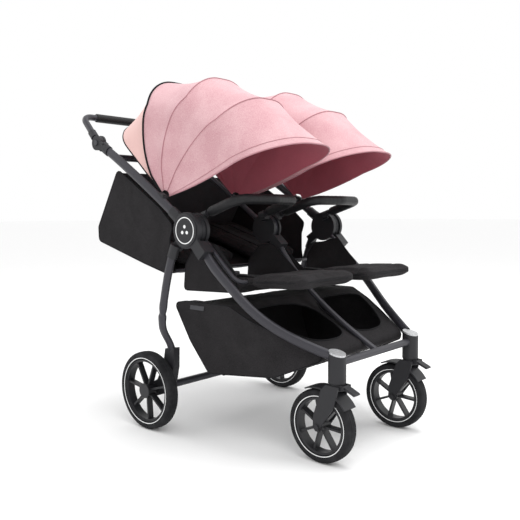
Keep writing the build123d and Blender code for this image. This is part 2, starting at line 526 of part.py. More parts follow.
lock = rod(SWIVEL_X - 13, SWIVEL_X + 13, HINGE_Y, HINGE_Z, 4.5)
tip_y, tip_z = -FRONT_REACH, HINGE_Z - 17
lock += slab([(HINGE_Y, HINGE_Z + 4), (tip_y + 2, tip_z + 5), (tip_y, tip_z + 3), (tip_y, tip_z), (tip_y + 4, tip_z - 1),
              (HINGE_Y, HINGE_Z - 4)], SWIVEL_X - 13, SWIVEL_X + 13)
lock -= rod(SWIVEL_X - 20, SWIVEL_X + 20, HINGE_Y, HINGE_Z, 2 + RUN)
export(lock, "swivel_lock_left")
export(other(lock), "swivel_lock_right")

# ---------------------------------------------------------------- seats, leg rests and backrests
base = slab([(SEAT_FRONT_Y + 11, 468), (SEAT_FRONT_Y + 11, 496), (SEAT_BACK_Y, 488), (SEAT_BACK_Y, 460)],
            SEAT_IN, PANEL_X - SEAT)
base = fillet(base.edges().filter_by(Axis.X), 8)
export(both(base), "seat_bases")

side_pts = [(-292, 612), (-374, 520), (-372, 470), (SEAT_BACK_Y, 462), (SEAT_BACK_Y - 8, 540), (-190, 590), (-222, 592)]
side_panel = slab(side_pts, PANEL_X, PANEL_X + CLOTH)
side_panel -= rod(300, 330, HUB_Y, HUB_Z, HUB_R - 2 + SEAT)
side_panel -= body
side_panel -= seat_front_room
mid_pts = [(-262, 604), (-366, 512), (-366, 486), (SEAT_BACK_Y, 462), (SEAT_BACK_Y - 8, 540), (-206, 596)]
mid_panel = slab(mid_pts, CENTRE_PLATE[1] + SEAT, CENTRE_PLATE[1] + SEAT + CLOTH)
mid_panel -= rod(0, 60, HUB_Y, HUB_Z, CENTRE_R + SEAT)
mid_panel -= centre_hub
mid_panel -= seat_front_room
side_panel = max(side_panel.solids(), key=lambda s: s.volume)
mid_panel = max(mid_panel.solids(), key=lambda s: s.volume)
export(group(both(side_panel), both(mid_panel)), "seat_side_panels")

hinge_r = SEAT_TUBE / 2 + RUN
rest = slab([(SEAT_FRONT_Y - 10, 488), (SEAT_FRONT_Y - 10, 516), (REST_TIP + 8, 527), (REST_TIP, 520),
             (REST_TIP, 498), (REST_TIP + 10, 492)], REST_IN, REST_OUT)
corners = rest.edges().filter_by(Axis.Z)
corners = [e for e in corners if e.center().Y < REST_TIP + 6]
rest = fillet(corners, 22) if corners else rest
for x0 in (REST_IN + 30, REST_OUT - 62):
    rest += rod(x0, x0 + 32, SEAT_FRONT_Y, SEAT_FRONT_Z, hinge_r + 3)
    rest += slab([(SEAT_FRONT_Y, 495), (SEAT_FRONT_Y, 509), (SEAT_FRONT_Y - 14, 509), (SEAT_FRONT_Y - 14, 495)], x0, x0 + 32)
rest -= rod(0, 340, SEAT_FRONT_Y, SEAT_FRONT_Z, hinge_r)
export(rest, "legrest_left")
export(other(rest), "legrest_right")

back = slab(turned([(8, 4), (BACK_L - 6, 4), (BACK_L, 10), (BACK_L, PAD_T), (BACK_L - 8, PAD_T + 6), (14, PAD_T + 6),
                    (8, PAD_T)], RECLINE, RECLINE_Y, RECLINE_Z), SEAT_IN, SEAT_OUT)
back += slab(turned([(0, -4), (14, 4), (14, 12), (0, 9)], RECLINE, RECLINE_Y, RECLINE_Z), SEAT_IN + 20, SEAT_IN + 60)
back += slab(turned([(0, -4), (14, 4), (14, 12), (0, 9)], RECLINE, RECLINE_Y, RECLINE_Z), SEAT_OUT - 60, SEAT_OUT - 20)
for x0 in (SEAT_IN + 20, SEAT_OUT - 60):
    back += rod(x0, x0 + 40, RECLINE_Y, RECLINE_Z, 9)
back -= rod(0, 340, RECLINE_Y, RECLINE_Z, 5 + RUN)
export(back, "backrest_left")
export(other(back), "backrest_right")

# ---------------------------------------------------------------- bumper bars
bar_start = Vector(BUMP_OUT, BUMP_Y, BUMP_Z)
bar_end = Vector(BUMP_IN, BUMP_Y, BUMP_Z)
reach = (BUMP_Y - BUMP_FRONT - BUMP_BOW) / cos(radians(BUMP_RISE))
bar_middle = Vector((BUMP_OUT + BUMP_IN) / 2, BUMP_FRONT, BUMP_Z + reach * sin(radians(BUMP_RISE)))
bar_path = FilletPolyline(bar_start, bar_start + pull * reach, bar_middle, bar_end + pull * reach, bar_end,
                          radius=BUMP_BEND)
bar = sweep(Plane(origin=bar_start, x_dir=(1, 0, 0), z_dir=pull) * Circle(BUMP_BAR / 2), bar_path)
foam_path = FilletPolyline(bar_start + pull * BUMP_BARE, bar_start + pull * reach, bar_middle,
                           bar_end + pull * reach, bar_end + pull * BUMP_BARE, radius=BUMP_BEND)
foam_plane = Plane(origin=foam_path @ 0, x_dir=(1, 0, 0), z_dir=foam_path % 0)
foam = sweep(foam_plane * Circle(BUMP_GRIP / 2), foam_path) - sweep(
    foam_plane * Circle(BUMP_BAR / 2 + SEAT), foam_path)
export(bar, "bumper_bar_left")
export(other(bar), "bumper_bar_right")
export(foam, "bumper_grip_left")
export(other(foam), "bumper_grip_right")


# ---------------------------------------------------------------- hoods
def hoop(angle, reach, thick, inset=0, low=LUG_R + 2):
    """The U of a bow or a panel edge, a flat face in the plane at angle through the hood's pivot line."""
    plane = Plane(origin=(0, HOOD_Y, HOOD_Z), x_dir=(1, 0, 0),
                  z_dir=(0, -sin(radians(angle)), cos(radians(angle))))
    # local x is across the hood, local y points away from the pivot line
    a, b, r = HOOD_IN + inset, HOOD_OUT - inset, HOOD_CORNER
    outer = make_face(Polyline((a, low), (b, low), (b, reach - inset), (a, reach - inset), close=True))
    outer = fillet(outer.vertices().sort_by(Axis.Y)[-2:], r)
    inner = make_face(Polyline((a + thick, low - 1), (b - thick, low - 1), (b - thick, reach - inset - thick),
                               (a + thick, reach - inset - thick), close=True))
    inner = fillet(inner.vertices().sort_by(Axis.Y)[-2:], r - thick)
    return plane * (outer - inner)


def bow(spec, inset):
    angle, reach = spec
    normal = Vector(0, -sin(radians(angle)), cos(radians(angle)))
    solid = None
    for part_inset, thick, low in ((inset, BOW_T, 0), (0, inset + BOW_T, HEM_FROM)):
        face = hoop(angle, reach, thick, part_inset, low)
        layer = Solid.extrude(face.face(), normal * BOW_W).moved(Location(-normal * (BOW_W / 2)))
        solid = layer if solid is None else solid + layer
    a, b = HOOD_IN + inset, HOOD_OUT - inset
    solid = solid + rod(a, a + BOW_T, HOOD_Y, HOOD_Z, LUG_R - 2) + rod(b - BOW_T, b, HOOD_Y, HOOD_Z, LUG_R - 2)
    solid -= rod(0, 340, HOOD_Y, HOOD_Z, PIVOT_PIN + RUN)
    return solid


def panel(back_spec, front_spec, low=40):
    """Cloth stretched between two bows, with room for the bows themselves."""
    a, b = (hoop(angle, reach, CLOTH, 0, low) for angle, reach in (back_spec, front_spec))
    cloth = loft([a.face(), b.face()], ruled=True)
    for angle, _ in (back_spec, front_spec):
        cloth -= Pos(0, HOOD_Y, HOOD_Z) * Rot(angle, 0, 0) * Box(900, 1000, BOW_W + 2 * BOW_GAP)
    return max(cloth.solids(), key=lambda s: s.volume)


SECTIONS = {"mid": (BOW_REAR, BOW_2, 12), "upper": (BOW_2, BOW_3, 8), "front": (BOW_3, BOW_RIM, 0)}
for name, (back_bow, front_bow, inset) in SECTIONS.items():
    pieces = [panel(back_bow, front_bow), bow(front_bow, inset)]
    export(group(*pieces), f"hood_{name}_left")
    export(group(*[other(p) for p in pieces]), f"hood_{name}_right")
rear_bow = bow(BOW_REAR, 4)
export(both(rear_bow), "hood_rear_bows")
rear_panel = panel((REAR_HEM, 385), BOW_REAR)
export(both(rear_panel), "hood_rear_panels")

# ---------------------------------------------------------------- basket
tall = BASKET_TOP_Z - BASKET_LOW_Z
taper = (BASKET_TOP_X - BASKET_LOW_X) / tall


def basket_block(points, inset):
    """The basket's side outline made solid. Its sides lean in towards the floor and the front."""
    z0, z1 = 100, 500
    x0 = BASKET_LOW_X - inset + (z0 - BASKET_LOW_Z) * taper
    x1 = BASKET_LOW_X - inset + (z1 - BASKET_LOW_Z) * taper
    face = make_face(Polyline((-x1, 0, z1), (x1, 0, z1), (x0, 0, z0), (-x0, 0, z0), close=True))
    lean = extrude(face, 900, both=True)
    side = [(x - TUBE_X / 2 - 3 - inset, y) for x, y, z in FRONT_POINTS[2:]]
    plan = [(400, 0), (400, FRONT_POINTS[2][1])] + side + [(side[-1][0], -700)]
    plan += [(-x, y) for x, y in reversed(plan)]
    face = make_face(Polyline(*[(x, y, 0) for x, y in plan], close=True))
    return (slab(points, -400, 400) & lean) & extrude(face, 900, both=True)


outline = make_face(Polyline(*BASKET_SIDE, close=True))
small = offset(outline, -CLOTH, kind=Kind.INTERSECTION).face().outer_wire()
basket = basket_block(BASKET_SIDE, 0)
basket -= basket_block([(v.X, v.Y) for v in (e @ 0 for e in small.order_edges())], CLOTH)
basket -= Pos(0, -165, 430) * Box(2 * (BASKET_TOP_X - 30), 110, 80)
(y0, z0), (y1, z1) = BASKET_SIDE[2], BASKET_SIDE[4]
slope = Plane(origin=(0, y0, z0), x_dir=(1, 0, 0), z_dir=(0, z1 - z0, y0 - y1))
window = make_face(Polyline((DIVIDER / 2, 30), (292, 30), (272, 100), (232, 170), (190, 222), (140, 238), (60, 238),
                            (DIVIDER / 2, 205), close=True))
window = fillet(window.vertices(), 20)
window = slope * extrude(mirror(window, Plane.XZ), 32, both=True)
for w in (window, other(window)):
    basket -= w
basket -= tube(centre_path, SMALL_TUBE + 2, SMALL_TUBE + 2)
basket -= both(tube(front_path, TUBE_X + 2, TUBE_SIDE + 2))
basket -= both(housing_cut)
basket = max(basket.solids(), key=lambda s: s.volume)
export(basket, "basket")
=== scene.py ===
"""A side-by-side twin pushchair: its cloth, pads, tyres, trims and finishes around a fixed frame."""

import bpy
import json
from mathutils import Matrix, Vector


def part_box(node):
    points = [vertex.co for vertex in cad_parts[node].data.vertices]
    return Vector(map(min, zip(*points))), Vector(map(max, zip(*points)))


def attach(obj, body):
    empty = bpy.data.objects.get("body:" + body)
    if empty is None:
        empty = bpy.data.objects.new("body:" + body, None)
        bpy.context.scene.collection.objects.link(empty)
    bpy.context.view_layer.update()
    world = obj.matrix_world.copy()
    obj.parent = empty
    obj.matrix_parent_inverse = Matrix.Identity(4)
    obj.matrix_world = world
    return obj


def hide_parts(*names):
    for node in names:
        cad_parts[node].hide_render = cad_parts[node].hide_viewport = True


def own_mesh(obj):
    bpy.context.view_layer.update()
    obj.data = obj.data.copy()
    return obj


bl_info = {
    "name": "Twin pushchair",
    "version": (1, 0, 0),
    "blender": (4, 5, 0),
    "location": "View3D > Sidebar > Pushchair",
    "description": "Makes the hoods, pads, bag, basket, tyres and finishes of a twin pushchair",
    "category": "Object",
}
import json
import math

import bmesh
import bpy
import numpy as np
from bpy.props import FloatProperty, FloatVectorProperty, IntProperty, PointerProperty
from mathutils import Matrix, Vector, noise

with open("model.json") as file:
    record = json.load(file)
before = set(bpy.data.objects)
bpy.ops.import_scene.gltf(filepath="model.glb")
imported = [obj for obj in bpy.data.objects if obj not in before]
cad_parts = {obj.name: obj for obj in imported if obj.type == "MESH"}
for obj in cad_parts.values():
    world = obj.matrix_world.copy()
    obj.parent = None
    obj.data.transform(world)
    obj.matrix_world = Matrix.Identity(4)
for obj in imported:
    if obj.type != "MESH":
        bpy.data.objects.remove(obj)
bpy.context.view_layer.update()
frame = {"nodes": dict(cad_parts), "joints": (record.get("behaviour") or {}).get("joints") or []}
NODES = frame["nodes"]
JOINT_AT = {j["name"]: Vector(j["pos_m"]) for j in frame["joints"] if "pos_m" in j}
AXLE_Y = JOINT_AT["rear_wheel_spin_left"].y  # the outlines below count y from the rear axle
HUB = JOINT_AT["frame_fold"]
HOOD_PIVOT = JOINT_AT["hood_close_left"]
SIDES = (("left", 1), ("right", -1))


# ---------------------------------------------------------------- sizes and colours
def linear(code):
    """An sRGB hex colour as linear red, green, blue, alpha."""
    parts = [int(code[k:k + 2], 16) / 255 for k in (1, 3, 5)]
    return [c / 12.92 if c <= 0.04045 else ((c + 0.055) / 1.055) ** 2.4 for c in parts] + [1.0]


def colour(name, about, code):
    return FloatVectorProperty(name=name, description=about, subtype="COLOR", size=4, min=0, max=1,
                               default=linear(code))


class PushchairColours(bpy.types.PropertyGroup):
    hood: colour("Hood", "Outer cloth of both hoods", "#B9848C")
    hood_light: colour("Hood, lit thread", "Paler thread of the hood's weave", "#D6B3B6")
    lining: colour("Hood lining", "Inner cloth of both hoods", "#A85A66")
    rear_panel: colour("Rear panel", "Cloth behind the rear bow", "#D9B4AF")
    seat: colour("Seat cloth", "Pads, leg rests and backrests", "#1B1A1B")
    seat_thread: colour("Seat cloth, pale thread", "Heather thread of the dark cloth", "#312F31")
    frame_paint: colour("Frame paint", "Satin coating of the tubes", "#2F2E34")
    plastic: colour("Plastic", "Hubs, forks and joints", "#242427")
    grip: colour("Grip cover", "Stitched cover of the bumper bars and handle", "#0E0E10")
    rubber: colour("Tyre rubber", "Tyres", "#1B1B1D")
    ring: colour("Reflective ring", "Ring on each tyre and hub", "#E9EAEA")


class PushchairSizes(bpy.types.PropertyGroup):
    cloth: FloatProperty(name="Cloth", description="Thickness of the hood and bag cloth", default=0.0016,
                         min=0.0005, max=0.004, unit="LENGTH")
    sag: FloatProperty(name="Hood sag", description="How far hood cloth dips between two bows", default=0.009,
                       min=0, max=0.02, unit="LENGTH")
    piping: FloatProperty(name="Piping", description="Radius of the sewn piping", default=0.0024, min=0.001,
                          max=0.006, unit="LENGTH")
    pad_swell: FloatProperty(name="Pad swell", description="Most that a pad's face may puff out", default=0.007,
                             min=0, max=0.02, unit="LENGTH")
    weave: FloatProperty(name="Weave", description="Thread spacing drawn on the cloth", default=0.0026,
                         min=0.0004, max=0.01, unit="LENGTH")
    ring_width: FloatProperty(name="Ring width", description="Width of the reflective rings", default=0.0030,
                              min=0.001, max=0.01, unit="LENGTH")
    tread_grooves: IntProperty(name="Tread grooves", description="Grooves that run round each tyre", default=3,
                               min=1, max=6)


# ---------------------------------------------------------------- finishes
WAVE = 0.314  # metres between the bands of a wave pattern at scale 1


def per_metre(millimetres):
    """A pattern's scale, from the real size of one grain, cell or cloud."""
    return 1000 / millimetres


def add(tree, kind, links=(), **settings):
    """A node with its settings; links are (input name, socket) pairs, and input names in settings may hold _."""
    made = tree.nodes.new(kind)
    for key, value in settings.items():
        if hasattr(made, key):
            setattr(made, key, value)
        else:
            made.inputs[key.replace("_", " ")].default_value = value
    for name, socket in links:
        tree.links.new(socket, made.inputs[name])
    return made


def finish(name, base, roughness, **sockets):
    """A new material and its shader, with plain numbers on the shader's own sockets."""
    material = bpy.data.materials.new(name)
    material.use_nodes = True
    shader = material.node_tree.nodes["Principled BSDF"]
    shader.inputs["Base Color"].default_value = base
    shader.inputs["Roughness"].default_value = roughness
    for key, value in sockets.items():
        shader.inputs[key.replace("_", " ")].default_value = value
    material.diffuse_color = base
    return material, material.node_tree, shader


def drive(tree, shader, **nodes):
    """Links each node's first output to the shader's input of that name."""
    for key, node in nodes.items():
        tree.links.new(node.outputs[0], shader.inputs[key.replace("_", " ")])


def mottle(tree, vector, millimetres, low, high, detail=4.0):
    """Two colours mixed by noise, in patches of a real size."""
    cloud = add(tree, "ShaderNodeTexNoise", [("Vector", vector)], Scale=per_metre(millimetres), Detail=detail,
                Roughness=0.6)
    ramp = add(tree, "ShaderNodeValToRGB", [("Fac", cloud.outputs["Fac"])])
    ramp.color_ramp.elements[0].position, ramp.color_ramp.elements[1].position = 0.36, 0.66
    ramp.color_ramp.elements[0].color, ramp.color_ramp.elements[1].color = low, high
    return ramp


def woven_cloth(name, low, high, spacing, sheen, by_uv, relief=0.25):
    """Polyester cloth: warp and weft threads as crossed waves, with uneven dye along the threads."""
    # The real threads lie under half a millimetre apart; they are drawn coarser, so that the weave shows.
    material, tree, shader = finish(name, low, 0.92, Specular_IOR_Level=0.12, Sheen_Weight=sheen, Sheen_Roughness=0.5)
    where = add(tree, "ShaderNodeTexCoord").outputs["UV" if by_uv else "Object"]
    waves = []
    for axis in (("X", "Y") if by_uv else ("X", "Y", "Z")):
        waves.append(add(tree, "ShaderNodeTexWave", [("Vector", where)], bands_direction=axis,
                         Scale=WAVE / spacing, Distortion=0.6, Detail=1.0))
    height = waves[0].outputs["Fac"]
    for wave in waves[1:]:
        height = add(tree, "ShaderNodeMath", operation="MULTIPLY" if by_uv else "ADD",
                     links=[(0, height), (1, wave.outputs["Fac"])]).outputs[0]
    object_place = add(tree, "ShaderNodeTexCoord").outputs["Object"]
    thread = mottle(tree, object_place, 1.923, low, high, 3.0)
    cloud = mottle(tree, object_place, 90.91, [c * 0.93 for c in low[:3]] + [1], high, 2.0)
    tone = add(tree, "ShaderNodeMixRGB", [("Color1", thread.outputs[0]), ("Color2", cloud.outputs[0])], Fac=0.25)
    bump = add(tree, "ShaderNodeBump", [("Height", height)], Strength=relief, Distance=0.0006)
    drive(tree, shader, Base_Color=tone, Normal=bump)
    return material


def moulded_plastic(name, base, roughness, relief=0.12, edge=0.0012):
    """Glass-filled nylon from a spark-eroded mould: fine even grain and softly rounded edges."""
    material, tree, shader = finish(name, base, roughness, Specular_IOR_Level=0.32)
    place = add(tree, "ShaderNodeTexCoord").outputs["Object"]
    grit = add(tree, "ShaderNodeTexNoise", [("Vector", place)], Scale=per_metre(0.9), Detail=2.0)
    rounded = add(tree, "ShaderNodeBevel", Radius=edge, samples=4)
    bump = add(tree, "ShaderNodeBump", [("Height", grit.outputs["Fac"]), ("Normal", rounded.outputs[0])],
               Strength=relief, Distance=0.0004)
    wear = add(tree, "ShaderNodeTexNoise", [("Vector", place)], Scale=per_metre(111.1), Detail=3.0)
    rough = add(tree, "ShaderNodeMapRange", [("Value", wear.outputs["Fac"])])
    rough.inputs["To Min"].default_value, rough.inputs["To Max"].default_value = roughness - 0.07, roughness + 0.07
    drive(tree, shader, Normal=bump, Roughness=rough)
    return material


def satin_paint(name, base):
    """Satin polyester powder coat on aluminium: faint orange peel and a soft sheen."""
    material, tree, shader = finish(name, base, 0.4, Specular_IOR_Level=0.35, Metallic=0.15, Coat_Weight=0.12,
                                    Coat_Roughness=0.35)
    place = add(tree, "ShaderNodeTexCoord").outputs["Object"]
    peel = add(tree, "ShaderNodeTexNoise", [("Vector", place)], Scale=per_metre(2.381), Detail=2.0)
    bump = add(tree, "ShaderNodeBump", [("Height", peel.outputs["Fac"])], Strength=0.08, Distance=0.0003)
    fleck = mottle(tree, place, 1.25, [c * 0.85 for c in base[:3]] + [1], [min(1, c * 1.25) for c in base[:3]] + [1])
    drive(tree, shader, Normal=bump, Base_Color=fleck)
    return material


def grained_leather(name, base):
    """Polyurethane leather: small raised cells with creases between them."""
    material, tree, shader = finish(name, base, 0.5, Specular_IOR_Level=0.25, Coat_Weight=0.05, Coat_Roughness=0.4)
    place = add(tree, "ShaderNodeTexCoord").outputs["Object"]
    cells = add(tree, "ShaderNodeTexVoronoi", [("Vector", place)], Scale=per_metre(2.2), feature="F1",
                Randomness=0.9)
    crease = add(tree, "ShaderNodeTexNoise", [("Vector", place)], Scale=per_metre(16.667), Detail=4.0)
    total = add(tree, "ShaderNodeMath", [(0, cells.outputs["Distance"]), (1, crease.outputs["Fac"])], operation="ADD")
    bump = add(tree, "ShaderNodeBump", [("Height", total.outputs[0])], Strength=0.35, Distance=0.0007)
    tone = mottle(tree, place, 4.1667, base, [min(1, c * 1.9 + 0.004) for c in base[:3]] + [1])
    drive(tree, shader, Normal=bump, Base_Color=tone)
    return material


def tyre_rubber(name, base):
    """Foamed rubber tyre: matt, a little dusty, with a fine pebbled skin."""
    material, tree, shader = finish(name, base, 0.85, Specular_IOR_Level=0.2)
    place = add(tree, "ShaderNodeTexCoord").outputs["Object"]
    grit = add(tree, "ShaderNodeTexNoise", [("Vector", place)], Scale=per_metre(1.4286), Detail=3.0)
    bump = add(tree, "ShaderNodeBump", [("Height", grit.outputs["Fac"])], Strength=0.3, Distance=0.0005)
    dust = mottle(tree, place, 33.333, base, [min(1, c * 1.6 + 0.006) for c in base[:3]] + [1])
    drive(tree, shader, Normal=bump, Base_Color=dust)
    return material


def silver_plastic(name, base):
    """Silver lacquer on a cap with a woven relief."""
    material, tree, shader = finish(name, base, 0.34, Metallic=0.6)
    place = add(tree, "ShaderNodeTexCoord").outputs["Object"]
    height = [add(tree, "ShaderNodeTexWave", [("Vector", place)], bands_direction=axis,
                  Scale=WAVE / 0.0028545).outputs["Fac"] for axis in ("X", "Y")]
    cross = add(tree, "ShaderNodeMath", [(0, height[0]), (1, height[1])], operation="MULTIPLY")
    bump = add(tree, "ShaderNodeBump", [("Height", cross.outputs[0])], Strength=0.5, Distance=0.0006)
    rub = mottle(tree, place, 6.25, [c * 0.75 for c in base[:3]] + [1], base)
    drive(tree, shader, Normal=bump, Base_Color=rub)
    return material


def net(name, base):
    """Black warp-knit net: round holes in a dark ground, 4 mm apart."""
    material, tree, shader = finish(name, base, 0.8, IOR=1.5, Sheen_Weight=0.1)
    place = add(tree, "ShaderNodeTexCoord").outputs["UV"]
    holes = add(tree, "ShaderNodeTexVoronoi", [("Vector", place)], Scale=per_metre(4), Randomness=0.15)
    # The holes are painted near-black: the bag's dark inside cloth seen through them, darkened further by painted
    # shade.
    tone = add(tree, "ShaderNodeValToRGB", [("Fac", holes.outputs["Distance"])])
    tone.color_ramp.elements[0].color, tone.color_ramp.elements[1].color = linear("#050505"), linear("#333135")
    tone.color_ramp.elements[0].position, tone.color_ramp.elements[1].position = 0.28, 0.42
    bump = add(tree, "ShaderNodeBump", [("Height", holes.outputs["Distance"])], Strength=0.6, Distance=0.001)
    drive(tree, shader, Base_Color=tone, Normal=bump)
    return material


FINISH = {}


def make_finishes():
    """Every finish by its short name."""
    c, s = bpy.context.scene.pushchair_colours, bpy.context.scene.pushchair_sizes
    FINISH.update(
        hood=woven_cloth("hood_polyester", list(c.hood), list(c.hood_light), s.weave, 0.30, True),
        lining=woven_cloth("hood_lining_polyester", list(c.lining), [v * 1.3 for v in c.lining], s.weave, 0.08, True),
        rear=woven_cloth("rear_panel_polyester", list(c.rear_panel), [min(1, v * 1.12) for v in c.rear_panel],
                         s.weave, 0.15, True),
        seat=woven_cloth("seat_heather_polyester", list(c.seat), list(c.seat_thread), s.weave, 0.02, False, 0.35),
        sheet=woven_cloth("bag_heather_polyester", list(c.seat), list(c.seat_thread), s.weave, 0.02, True, 0.35),
        webbing=woven_cloth("polypropylene_webbing", linear("#151517"), linear("#2A2A2D"), 0.0016, 0.05, False, 0.5),
        piping=woven_cloth("piping_tape", linear("#0E0E10"), linear("#222225"), 0.0015, 0.05, False, 0.3),
        pink_seam=woven_cloth("hood_seam_tape", [v * 0.80 for v in c.hood], list(c.hood), 0.0015, 0.3, False, 0.3),
        net=net("black_net", linear("#18181A")),
        paint=satin_paint("powder_coated_tube", list(c.frame_paint)),
        plastic=moulded_plastic("glass_filled_nylon", list(c.plastic), 0.5),
        rim=moulded_plastic("rim_nylon", linear("#222225"), 0.42, edge=0.0010),
        button=moulded_plastic("button_nylon", linear("#3B3B3F"), 0.4),
        leather=grained_leather("polyurethane_leather", list(c.grip)),
        rubber=tyre_rubber("foamed_tyre_rubber", list(c.rubber)),
        silver=silver_plastic("silver_lacquer", linear("#CDCED0")),
        ring=moulded_plastic("reflective_print", list(c.ring), 0.35, relief=0.05),
        steel=satin_paint("zinc_plated_steel", linear("#8D8E91")),
    )


# ---------------------------------------------------------------- modelling helpers
def pick_none():
    bpy.ops.object.select_all(action="DESELECT")


def only(piece):
    pick_none()
    piece.select_set(True)
    bpy.context.view_layer.objects.active = piece


def named(name, material, *others):
    piece = bpy.context.object
    piece.name = piece.data.name = name
    piece.data.materials.clear()
    for m in (material,) + others:
        piece.data.materials.append(m)
    return piece


def modify(piece, kind, **settings):
    only(piece)
    modifier = piece.modifiers.new(kind.title(), kind)
    for key, value in settings.items():
        setattr(modifier, key, value)
    bpy.ops.object.modifier_apply(modifier=modifier.name)


def smooth(piece, angle=40):
    only(piece)
    bpy.ops.object.shade_smooth_by_angle(angle=math.radians(angle))


def outwards(piece):
    only(piece)
    bpy.ops.object.mode_set(mode="EDIT")
    bpy.ops.mesh.select_all(action="SELECT")
    bpy.ops.mesh.remove_doubles(threshold=1e-5)
    bpy.ops.mesh.normals_make_consistent(inside=False)
    bpy.ops.object.mode_set(mode="OBJECT")


def place_applied(piece):
    only(piece)
    bpy.ops.object.transform_apply(location=True, rotation=True, scale=True)


def mirrored(piece, name):
    """The other side's copy, with its own mesh and its faces still pointing out."""
    twin = piece.copy()
    twin.data = piece.data.copy()
    twin.name = twin.data.name = name
    bpy.context.scene.collection.objects.link(twin)
    twin.data.transform(Matrix.Scale(-1, 4, (1, 0, 0)))
    twin.data.flip_normals()
    return twin


def settle(piece, body, slot, *replaced):
    if replaced:
        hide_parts(*replaced)
    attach(piece, body)
    return piece


def settle_both(piece, body, slot, nodes=(), declare=None):
    """Settles a piece and its mirrored copy; body and nodes may hold a place for the side."""
    pair = (piece, "left"), (mirrored(piece, piece.name.replace("_left", "_right")), "right")
    for one, side in pair:
        if declare:
            declare(one)
        settle(one, body.format(side), slot, *(n.format(side) for n in nodes))
    return [one for one, _ in pair]


def wrinkle(point, size, height, seed):
    """A signed crease height that is the same on each run."""
    p = Vector(point) / size + Vector((seed, seed * 1.7, seed * 0.3))
    return height * noise.fractal(p, 0.9, 2.1, 3, noise_basis="PERLIN_ORIGINAL")


def cloth_grid(name, across, along, place, size, material, *others):
    """A woven grid laid on a surface: place(u, v) gives the point, and the UV map is in metres."""
    bpy.ops.mesh.primitive_grid_add(x_subdivisions=across, y_subdivisions=along, size=1, calc_uvs=True)
    piece = named(name, material, *others)
    uv = piece.data.uv_layers.active.data
    for loop in uv:
        loop.uv = (loop.uv[0] * size[0], loop.uv[1] * size[1])
    for v in piece.data.vertices:
        v.co = place(v.co.x + 0.5, v.co.y + 0.5)
    piece.data.update()
    return piece


def surface_area(piece):
    """In square metres."""
    return sum(p.area for p in piece.data.polygons)


def swept(name, rings, material, closed, angle):
    """A skin over rings of points, capped at its ends unless it is closed."""
    bpy.ops.mesh.primitive_cylinder_add(vertices=len(rings[0]), radius=1, depth=1)
    piece = named(name, material)
    mesh = bmesh.new()
    rings = [[mesh.verts.new(p) for p in ring] for ring in rings]
    for a, b in zip(rings, rings[1:] + rings[:1] if closed else rings[1:]):
        for n in range(len(a)):
            after = (n + 1) % len(a)
            mesh.faces.new((a[n], a[after], b[after], b[n]))
    if not closed:
        mesh.faces.new(rings[0][::-1])
        mesh.faces.new(rings[-1])
    bmesh.ops.recalc_face_normals(mesh, faces=mesh.faces)
    mesh.to_mesh(piece.data)
    mesh.free()
    smooth(piece, angle)
    return piece


def tube_on(name, points, radius, material, closed=False, flat=1.0, steps=8):
    """A round or flattened tube sewn along a line of points."""
    points = [Vector(p) for p in points]
    count = len(points)
    up = Vector((0.13, 0.21, 0.97)).normalized()
    rings = []
    side = None
    for k, p in enumerate(points):
        ahead = points[(k + 1) % count] if closed or k < count - 1 else p
        behind = points[k - 1] if closed or k > 0 else p
        along = (ahead - behind).normalized()
        side = (side - along * side.dot(along)) if side else along.cross(up)
        side = side.normalized()
        lift = along.cross(side)
        r = radius(k / max(1, count - 1)) if callable(radius) else radius
        rings.append([p + side * (r * math.cos(a)) + lift * (r * flat * math.sin(a))
                      for a in (2 * math.pi * n / steps for n in range(steps))])
    return swept(name, rings, material, closed, 60)


def rounded_line(points, rounds, closed=False):
    """The corners of a line cut off again and again, so that it runs in soft bends."""
    points = [Vector(p) for p in points]
    for _ in range(rounds):
        count = len(points)
        new = [] if closed else [points[0]]
        for k in range(count if closed else count - 1):
            a, b = points[k], points[(k + 1) % count]
            new += [a.lerp(b, 0.25), a.lerp(b, 0.75)]
        points = new if closed else new + [points[-1]]
    return points


def corner_arc(a, b, c, radius, steps):
    """Points of the arc that rounds the corner b between a and c, smaller where there is little room."""
    u, v = (a - b).normalized(), (c - b).normalized()
    half = u.angle(v) / 2
    reach = min(radius / math.tan(half), 0.45 * min((a - b).length, (c - b).length))
    r = reach * math.tan(half)
    centre = b + (u + v).normalized() * (r / math.sin(half))
    start, end = b + u * reach - centre, b + v * reach - centre
    return [centre + start.lerp(end, k / steps).normalized() * r for k in range(steps + 1)]


def evenly(points, count, closed=False):
    """The same line with evenly spaced points."""
    line = points + [points[0]] if closed else list(points)
    reach = [0.0]
    for a, b in zip(line, line[1:]):
        reach.append(reach[-1] + (b - a).length)
    result, k = [], 0
    for n in range(count):
        want = reach[-1] * n / (count if closed else count - 1)
        while k < len(reach) - 2 and reach[k + 1] < want:
            k += 1
        span = reach[k + 1] - reach[k]
        result.append(line[k].lerp(line[k + 1], 0 if span < 1e-9 else min(1, (want - reach[k]) / span)))
    return result


def joined(name, pieces):
    pick_none()
    for piece in pieces:
        piece.select_set(True)
    bpy.context.view_layer.objects.active = pieces[0]
    bpy.ops.object.join()
    made = bpy.context.object
    made.name = made.data.name = name
    return made


